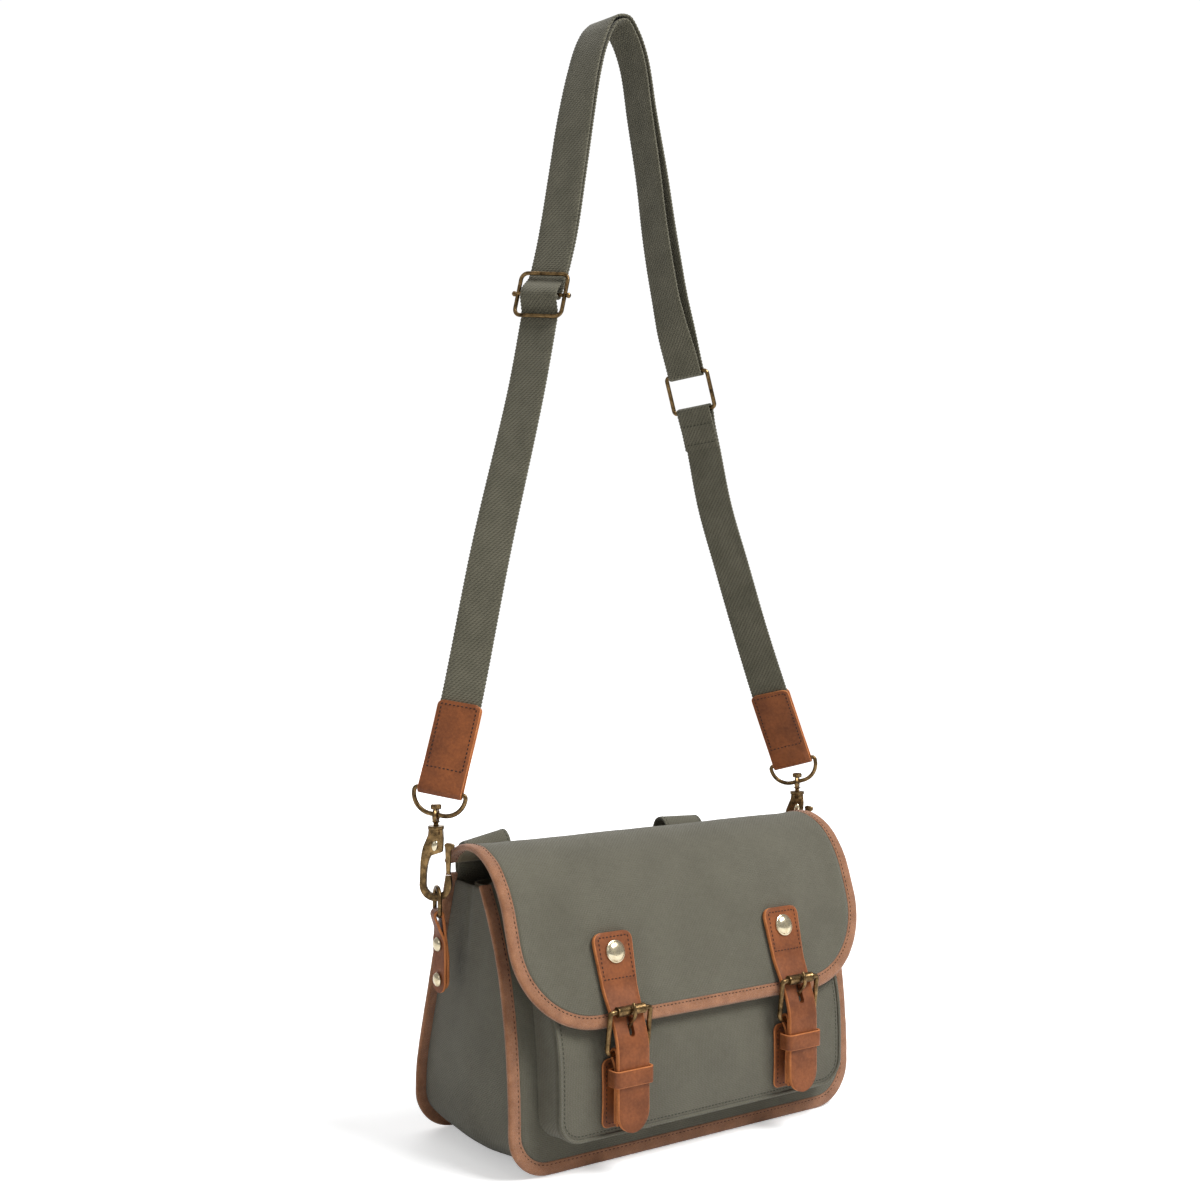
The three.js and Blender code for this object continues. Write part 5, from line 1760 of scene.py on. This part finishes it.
@dataclass
class SideTab:
    """The leather tab riveted to the gusset, with the ring that it holds."""

    finishes: Finishes
    side: Side
    leather: float = 1.9
    bar_x: float = 167
    bar_z: float = 167.5
    link_z: float = 186
    ring_wire: float = 1.5
    ring_turn: float = math.radians(72)

    def build(self) -> None:
        """Makes the tab, its two rivets and its ring."""
        sign, inner = self.side.sign, -3.6
        radius = self.ring_wire + GAP + self.leather / 2
        points = [[inner - 0.4, 116], [inner - 0.4, 140], [inner, 158]]
        points += [
            [radius * math.cos(a), self.bar_z + radius * math.sin(a)] for a in np.linspace(math.pi, 0, 7)
        ]
        points += [[inner + 3.4, 158], [inner + 1.9, 150], [inner + 1.9, 114]]
        rows = np.array(points)
        ahead = np.vstack([rows[1:], rows[-1:]]) - np.vstack([rows[:1], rows[:-1]])
        frames = []
        for (out, z), (d_out, d_z) in zip(rows, ahead):
            turn = math.pi / 2 + (self.ring_turn - math.pi / 2) * float(ease(z, 148, 162))
            outward = vec(sign * math.sin(turn), -sign * math.cos(turn), 0)
            w = vec(math.cos(turn), math.sin(turn), 0)
            t = outward * d_out + vec(0, 0, d_z)
            width = 17 - 4.4 * float(ease(z, 148, 160))
            p = vec(sign * self.bar_x, self.side.hook_y, z) + outward * out
            frames.append((p, w, np.cross(w, t), width))
        ribbon = Ribbon.through(frames, 0.9)
        ends = np.minimum(ribbon.marks[: len(ribbon.p)], ribbon.length - ribbon.marks[: len(ribbon.p)])
        ribbon.width = ribbon.width * np.maximum(np.sqrt(1 - (np.clip(8 - ends, 0, 8) / 8) ** 2.2), 0.2)
        section, edge = flat_section(self.leather, 0.6, 15)
        obj = ribbon.sweep(
            f"leather_tab_{self.side.word}", "body", section, [self.finishes.leather, self.finishes.raw_edge],
            edge, slot="saddle_leather"
        )
        stand_for(obj, f"side_tab_{self.side.word}")
        seat_x = sign * (self.bar_x + inner + 1.9 + self.leather / 2 + 2 * GAP + 0.2)
        dome = [(0, 0), (4.5, 0), (4.65, 0.3), (4.4, 0.75), (3.6, 1.35), (2.2, 1.85), (1, 2.0), (0, 2.05)]
        for level, z in (("upper", 147), ("lower", 123)):
            node = f"side_rivet_{level}_{self.side.word}"
            seat = vec(seat_x, self.side.hook_y, z)
            stand_for(
                turned(
                    f"tab_dome_{level}_{self.side.word}", "body", dome, seat, vec(sign, 0, 0),
                    self.finishes.pale_brass
                ),
                node
            )
        height = (self.link_z - self.bar_z) / 2
        across = vec(math.cos(self.ring_turn), math.sin(self.ring_turn), 0)
        centre = vec(sign * self.bar_x, self.side.hook_y, self.bar_z + height)
        ring = wire_loop(
            f"tab_ring_{self.side.word}", f"ring_{self.side.word}",
            rounded_loop(8.6, height, [8, 8, 2.5, 2.5]), centre, across, vec(0, 0, 1),
            round_section(self.ring_wire), self.finishes.brass
        )
        stand_for(ring, f"side_ring_{self.side.word}")


@dataclass
class SwivelHook:
    """A cast swivel hook: its eye and stem, body and sprung gate."""

    finishes: Finishes
    side: Side
    reach: float = 168
    turn: float = math.radians(-40)

    def build(self) -> None:
        """Makes the hook."""
        word = self.side.word
        softened(f"hook_stem_{word}", f"hook_eye_{word}", self.finishes.brass, 0.4)
        softened(f"hook_casting_{word}", f"hook_body_{word}", self.finishes.brass, 0.9)
        softened(f"hook_lever_{word}", f"hook_gate_{word}", self.finishes.brass, 0.5)
        across = vec(math.cos(self.turn), math.sin(self.turn), 0)
        face = np.cross(across, vec(0, 0, 1))
        centre = vec(self.side.sign * self.reach, self.side.hook_y, 0)
        rows = [(0, 0), (3.5, 0), (3.4, 0.5), (2.8, 1.0), (1.7, 1.35), (0, 1.5)]
        for side_word, way in (("near", 1), ("far", -1)):
            spot = centre + across * -0.4 + vec(0, 0, 214.8) + face * (2.45 * way)
            turned(
                f"hook_boss_{side_word}_{word}", f"hook_{word}", rows, spot, face * way,
                self.finishes.pale_brass, squeeze=0.66
            )


@dataclass
class BackLoop:
    """A canvas loop that stands up behind the flap, open at its left and right ends."""

    finishes: Finishes
    side: Side
    width: float = 36
    thickness: float = 1.6

    def build(self) -> None:
        """Makes the loop."""
        p = np.array([[self.side.loop_x, y, z] for y, z in LOOP_PATH], float)
        run = np.concatenate([[0], np.cumsum(np.linalg.norm(np.diff(p, axis=0), axis=1))])
        tilt = self.side.loop_tilt * np.sin(math.pi * run / run[-1])
        w = np.stack([np.cos(tilt), np.zeros_like(tilt), np.sin(tilt)], -1)
        n = unit(np.cross(w, np.gradient(p, run, axis=0)))
        ribbon = Ribbon.through([(a, b, c, self.width) for a, b, c in zip(p, w, n)], 1.0)
        section, _edge = flat_section(self.thickness, 0.9, self.width, crown=0.1)
        obj = ribbon.sweep(
            f"canvas_loop_{self.side.word}", "body", section, [self.finishes.canvas], slot="canvas"
        )
        stand_for(obj, f"back_loop_{self.side.word}")
        for edge_word, across in (("outer", 15.6), ("inner", -15.6)):
            s = np.linspace(1, ribbon.length - 1, 160)
            p, face = ribbon.at(s, np.full(len(s), across), self.thickness / 2 + 0.1)
            stitches(
                f"stitches_loop_{edge_word}_{self.side.word}", "body", p, face, self.finishes.pale_thread,
                pitch=3.0, length=2.0, radius=0.24
            )


# ---- The shoulder strap ----


@dataclass
class ShoulderStrap:
    """The raised shoulder strap: two lengths of webbing, its slider, slide ring, leather ends and end rings."""

    finishes: Finishes
    hook_x: float = 168
    bar_z: float = 252
    web: float = 30
    cloth: float = 1.6
    slider_at: float = 361
    slider_half: float = 16
    slider_wire: float = 1.5
    slider_lift: float = 3.5
    ring_from_end: float = 324
    ring_half: float = 14.5
    ring_wire: float = 1.6
    end_length: float = 62
    end_leather: float = 1.8
    end_depth: float = 16.5
    end_wire: float = 1.6
    scallop: float = 0.55
    scallop_pitch: float = 2.6

    def __post_init__(self) -> None:
        """Lays the strap's middle line."""
        route = [
            [
                2.2 - self.hook_x, 4.8, self.bar_z
            ], [-148, 8, 310], [-121, 12, 418], [-91, 13, 532], [-75.5, 14, 602],
            [-63.5, 14, 647], [-54.5, 14, 696], [-47.5, 14, 736], [-40.5, 14, 769], [-33, 14, 793], [-23.5, 14, 808.5],
            [-13, 14, 813.5], [-3, 14, 805], [6, 14, 786], [14, 14, 746], [23, 14, 703], [30.5, 14, 659], [39.5, 14, 616],
            [49.5, 14, 577], [60.5, 14, 541], [71.5, 14, 505], [84, 14, 456], [101, 14, 410], [119, 14, 362], [141, 14, 308],
            [self.hook_x - 2.6, 14, self.bar_z],
        ]
        self.turns = np.array([
            [0, 137], [0.12, 134], [0.27, 121], [0.34, 120], [0.4, 116], [0.47, 104], [0.51, 92], [0.6, 91], [0.67, 95],
            [0.715, 110], [0.765, 111], [0.88, 118], [1, 133],
        ])
        self.line = Line(route)
        self.ring_top = self.line.length - self.ring_from_end

    def turn_at(self, share: float) -> float:
        """The compass turn of the strap's width at a share of its length, in radians."""
        share = min(max(share, 0.0), 1.0)
        k = max(1, int(np.searchsorted(self.turns[:, 0], share)))
        (u0, a0), (u1, a1) = self.turns[k - 1], self.turns[min(k, len(self.turns) - 1)]
        return math.radians(a0 + (a1 - a0) * float(ease(share, u0, max(u1, u0 + 1e-6))))

    def at(self, d: float, lift: float = 0.0) -> tuple[Grid, Grid, Grid, Grid]:
        """The strap's place, width direction, outward direction and direction at a distance, lifted off its middle."""
        t = self.line.along(d)
        turn = self.turn_at(d / self.line.length)
        w = vec(math.cos(turn), math.sin(turn), 0)
        w = unit(w - t * float(w @ t))
        n = unit(np.cross(t, w))
        return self.line.at(d) + n * lift, w, n, t

    def wrap(self, d: float, lift: float, radius: float, way: int) -> list[tuple]:
        """Frames round a bar, between the two plies of a folded end."""
        p, w, n, t = self.at(d, lift)
        rows = []
        for turn in np.linspace(0, math.pi, 11)[1:-1]:
            out = n * math.cos(turn) + t * way * math.sin(turn)
            rows.append((p + out * radius, w, out, self.web))
        return rows

    def ply(self, distances: Iterable[float], lift: Callable, flipped: bool = False) -> list[tuple]:
        """Frames of one ply of webbing."""
        rows = []
        for d in distances:
            p, w, n, _t = self.at(d, lift(d))
            rows.append((p, w, -n if flipped else n, self.web))
        return rows

    def build(self) -> None:
        """Makes the strap."""
        self.long_web()
        self.short_web()
        self.slider()
        self.slide_ring()
        for side in Side:
            self.end(side)

    def woven(self, name: str, frames: list[tuple], node: str) -> Ribbon:
        """Sweeps a length of webbing with its scalloped selvages."""
        ribbon = Ribbon.through(frames, self.scallop_pitch / 4)
        own = ribbon.marks[: len(ribbon.p)]
        ribbon.width = ribbon.width - self.scallop * (1 + np.cos(own * 2 * math.pi / self.scallop_pitch))
        section, _edge = flat_section(self.cloth, 0.9, self.web, crown=0.0, steps=6)
        section[:, 1] *= np.where(np.abs(section[:, 0]) > 0.45, 1.05, 1)
        obj = ribbon.sweep(name, "shoulder_strap", section, [self.finishes.webbing], slot="webbing")
        stand_for(obj, node)
        return ribbon

    def long_web(self) -> None:
        """Makes the long webbing: over the slider, over the top, round the slide ring and back to the slider's bar."""
        over = self.slider_lift + self.slider_wire + 2 * GAP + 1.5 * self.cloth
        at, half, top = self.slider_at, self.slider_half, self.ring_top
        hump = lambda d: math.cos(min(abs(d - at) / half, 1) * math.pi) * 0.5 + 0.5
        radius = self.ring_wire + GAP + self.cloth / 2
        closing = lambda d: float(ease(d, top - 40, top - 2))

        def outer_lift(d: float) -> float:
            """The outer ply's height off the middle line."""
            if d < at:
                return (over - 0.1) * hump(d) + 0.1 * float(ease(d, 60, 330))
            apart = 1.3 + 2.6 * float(ease(d, at + 260, at + 420))
            lift = (over - 0.1) * hump(d) + 0.1 + (apart - 0.1) * float(ease(d, at + 14, at + 60))
            return lift + (radius - lift) * closing(d)

        def inner_lift(d: float) -> float:
            """The inner ply's height off the middle line."""
            apart = 2.4 + 2.6 * float(ease(d, at + 260, at + 420))
            lift = -apart + (apart - radius) * closing(d)
            under = self.slider_lift - self.slider_wire - GAP - self.cloth / 2
            return lift + (under - lift) * (1 - float(ease(d, at + 4, at + 15)))

        spread = lambda a, b, step: np.linspace(a, b, max(2, round(abs(b - a) / step) + 1))
        out = np.concatenate(
            [
                spread(22, at - half - 4, 22), spread(at - half, at + half, 4),
                spread(at + half + 6, top - 2, 11)
            ]
        )
        frames = self.ply(out, outer_lift) + self.wrap(top, 0, radius, 1) + self.ply(
            spread(top - 2, at, 11), inner_lift, True
        )
        bar_turn = self.slider_wire + GAP + self.cloth / 2
        frames += self.wrap(at, self.slider_lift, bar_turn, -1)[::-1]
        self.woven("web_long", frames, "long_webbing")

    def short_web(self) -> None:
        """Makes the short webbing: from the slide ring down to the right strap end, with its folded, stitched tail."""
        radius = self.ring_wire + GAP + self.cloth / 2
        bar = self.ring_top + 2 * self.ring_half
        settle = lambda d: 1 - float(ease(d, bar + 2, bar + 16))
        tail = self.ply(
            np.linspace(bar + 30, bar + 2, 5), lambda d: -2.05 - (radius - 2.05) * settle(d), True
        )
        main = self.ply(np.linspace(bar + 2, self.line.length - 22, 30), lambda d: radius * settle(d))
        ribbon = self.woven("web_short", tail + self.wrap(bar, 0, radius, -1)[::-1] + main, "short_webbing")
        for row, s in enumerate((4.5, 19.0)):
            p, n = ribbon.at(np.full(60, s), np.linspace(-12.5, 12.5, 60), self.cloth / 2 + 0.1)
            stitches(
                f"stitches_web_{row}", "shoulder_strap", p, n, self.finishes.pale_thread, pitch=3.0,
                length=2.1, radius=0.32
            )

    def wire_frame(
        self, name: str, node: str, d: float, lift: float, half_wide: float, half_high: float, wire: float,
        corner: float
    ) -> None:
        """Makes a rectangular wire frame in the strap's own plane."""
        p, w, _n, t = self.at(d, lift)
        obj = wire_loop(
            name, "shoulder_strap", rounded_loop(half_wide, half_high, [corner] * 4), p, w, t,
            round_section(wire), self.finishes.brass
        )
        stand_for(obj, node)

    def slider(self) -> None:
        """Makes the slider's frame, and its middle bar with a small ball at each end."""
        half_wide = self.web / 2 + 4
        self.wire_frame(
            "slider_wire", "slider_frame", self.slider_at, self.slider_lift, half_wide, self.slider_half,
            self.slider_wire, 5
        )
        p, w, _n, _t = self.at(self.slider_at, self.slider_lift)
        out = half_wide + self.slider_wire
        half_rows = [
            (1.4, 0), (1.4, out - 3.4), (1.35, out), (1.6, out + 0.4), (2.0, out + 1.2), (1.9, out + 2.2),
            (1.2, out + 3.0), (0, out + 3.2)
        ]
        rows = [(r, -h) for r, h in half_rows[::-1]] + half_rows[1:]
        stand_for(
            turned("slider_rod", "shoulder_strap", rows, p, w, self.finishes.brass, 20), "slider_bar"
        )

    def slide_ring(self) -> None:
        """Makes the rectangular ring that joins the two lengths of webbing."""
        self.wire_frame(
            "slide_loop", "strap_slide_ring", self.ring_top + self.ring_half, 0, self.web / 2 + 3.4,
            self.ring_half, self.ring_wire, 3
        )

    def end(self, side: Side) -> None:
        """Makes one leather strap end, folded round its ring and over the webbing, and the ring."""
        whole = self.line.length
        along = (lambda d: d) if side is Side.LEFT else (lambda d: whole - d)
        radius = self.end_wire + GAP + self.end_leather / 2
        ply = self.cloth / 2 + GAP + self.end_leather / 2
        lift = lambda d: radius + (ply - radius) * float(ease(d, 2, 18))
        stops = [self.end_length, 50, 38, 26, 18, 10, 2]
        rows = []
        for d in stops:
            p, w, n, _t = self.at(along(d), lift(d))
            rows.append((p, w, n, self.web + 1.4))
        rows += [(p, w, n, self.web + 1.4) for p, w, n, _width in self.wrap(along(0), 0, radius, side.sign)]
        for d in stops[::-1]:
            p, w, n, _t = self.at(along(d), -lift(d))
            rows.append((p, w, -n, self.web + 1.4))
        ribbon = Ribbon.through(rows, 1.0)
        own = ribbon.marks[: len(ribbon.p)]
        ends = np.minimum(own, ribbon.length - own)
        ribbon.width = ribbon.width - 2 * (4 - np.sqrt(16 - np.clip(4 - ends, 0, 4) ** 2))
        section, edge = flat_section(self.end_leather, 0.6, self.web, crown=0.1)
        obj = ribbon.sweep(
            f"leather_end_{side.word}", "shoulder_strap", section,
            [self.finishes.leather, self.finishes.raw_edge], edge, slot="saddle_leather"
        )
        stand_for(obj, f"strap_end_{side.word}")
        face = self.end_leather / 2 + 0.1
        box_of_stitches(
            f"stitches_end_out_{side.word}", "shoulder_strap", ribbon, (2.8, 47), self.web / 2 - 2.4, face,
            self.finishes.thread
        )
        box_of_stitches(
            f"stitches_end_in_{side.word}", "shoulder_strap", ribbon,
            (ribbon.length - 47, ribbon.length - 2.8), self.web / 2 - 2.4, face, self.finishes.thread
        )
        p, w, _n, _t = self.at(along(0))
        loop = rounded_loop(
            self.web / 2 + 3.4, self.end_depth / 2, [2.5, 2.5, self.end_depth - 2.5, self.end_depth - 2.5]
        )
        up = unit(vec(0, 0, 1) - w * w[2])
        ring = wire_loop(
            f"end_ring_{side.word}", "shoulder_strap", loop, p - up * self.end_depth / 2, w, up,
            round_section(self.end_wire), self.finishes.brass
        )
        stand_for(ring, f"strap_ring_{side.word}")


# ---- The studio ----


@dataclass
class Studio:
    """A pale floor with its own glow and a painted shadow round the bag, soft light and the camera."""

    lens: float = 47.4
    place: tuple[float, float, float] = (-0.703, -0.937, 0.380)
    yaw: float = -35.465
    rise: float = 0.122
    floor_size: float = 60.0

    def build(self) -> None:
        """Sets the studio up."""
        self.camera()
        self.floor()
        self.world()
        self.lamp("key", (0.7, -1.5, 2.3), (0.0, -0.02, 0.25), 1.2, 76.0)
        self.lamp("side", (-2.2, -0.6, 1.6), (0.0, 0.0, 0.3), 1.0, 4.0)
        self.lamp("top", (0.1, 0.4, 2.4), (0.0, 0.0, 0.2), 1.4, 8.0)
        self.lamp("back", (0.9, 2.3, 1.3), (0.0, 0.0, 0.25), 1.8, 20.0)

    def camera(self) -> None:
        """Places the camera."""
        data = bpy.data.cameras.new("camera")
        data.lens = self.lens
        data.sensor_width = 36.0
        data.clip_start = 0.05
        data.clip_end = 200.0
        obj = bpy.data.objects.new("camera", data)
        obj.location = Vector(self.place) + Vector(ORIGIN * MM)
        obj.rotation_euler = (math.radians(90 + self.rise), 0, math.radians(self.yaw))
        bpy.context.scene.collection.objects.link(obj)
        bpy.context.scene.camera = obj

    def floor(self) -> None:
        """Lays the floor, which glows for camera rays: evenly bright far off, and dimmer near its middle as a painted
        shadow round the bag.
        """
        material, tree, shader = blank("studio_floor")
        shader.inputs["Base Color"].default_value = (0.93, 0.93, 0.93, 1)
        shader.inputs["Roughness"].default_value = 0.9
        shader.inputs["Specular IOR Level"].default_value = 0.0
        # Painted shadow and glow: camera rays see the floor glow, from 0.42 within half a metre of the floor's middle
        # up to 0.76 at two and a half metres, so the floor looks darker round the bag by its own light.
        seen = tree.put("LightPath").outputs["Is Camera Ray"]
        away = tree.put(
            "VectorMath", {0: tree.put("TexCoord").outputs["Object"]}, operation="LENGTH"
        ).outputs["Value"]
        camera_glow_with_painted_shadow = tree.maths("MULTIPLY", seen, tree.spread(away, 0.5, 2.5, 0.42, 0.76))
        tree.tree.links.new(camera_glow_with_painted_shadow, shader.inputs["Emission Color"])
        shader.inputs["Emission Strength"].default_value = 1.0
        half = self.floor_size / 2
        mesh = bpy.data.meshes.new("studio_floor")
        mesh.from_pydata(
            [(-half, -half, 0), (half, -half, 0), (half, half, 0), (-half, half, 0)], [], [(0, 1, 2, 3)]
        )
        mesh.materials.append(material)
        obj = bpy.data.objects.new("studio_floor", mesh)
        obj.location.z = -0.0002
        bpy.context.scene.collection.objects.link(obj)

    def world(self) -> None:
        """Lights the room evenly."""
        world = bpy.data.worlds.new("studio")
        world.use_nodes = True
        background = world.node_tree.nodes["Background"]
        background.inputs["Color"].default_value = (1, 1, 1, 1)
        tree = Tree(world.node_tree)
        seen = tree.put("LightPath").outputs["Is Camera Ray"]
        tree.tree.links.new(tree.spread(seen, 0, 1, 0.34, 1.03), background.inputs["Strength"])
        bpy.context.scene.world = world
        bpy.context.scene.view_settings.view_transform = "Standard"

    def lamp(self, name: str, place: tuple, target: tuple, size: float, power: float) -> None:
        """Hangs one soft lamp."""
        data = bpy.data.lights.new(name, "AREA")
        data.size = size
        data.energy = power
        obj = bpy.data.objects.new(name, data)
        obj.location = place
        obj.rotation_euler = (Vector(target) - Vector(place)).to_track_quat("-Z", "Y").to_euler()
        bpy.context.scene.collection.objects.link(obj)


def main() -> None:
    """Builds the bag's looks and the studio."""
    logging.basicConfig(level=logging.INFO, format="%(name)s %(message)s")
    finishes = Finishes()
    BagBody(finishes).build()
    FrontPocket(finishes).build()
    Flap(finishes).build()
    for side in Side:
        Closure(finishes, side).build()
        SideTab(finishes, side).build()
        SwivelHook(finishes, side).build()
        BackLoop(finishes, side).build()
    ShoulderStrap(finishes).build()
    Studio().build()
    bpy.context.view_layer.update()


if __name__ == "__main__":
    main()
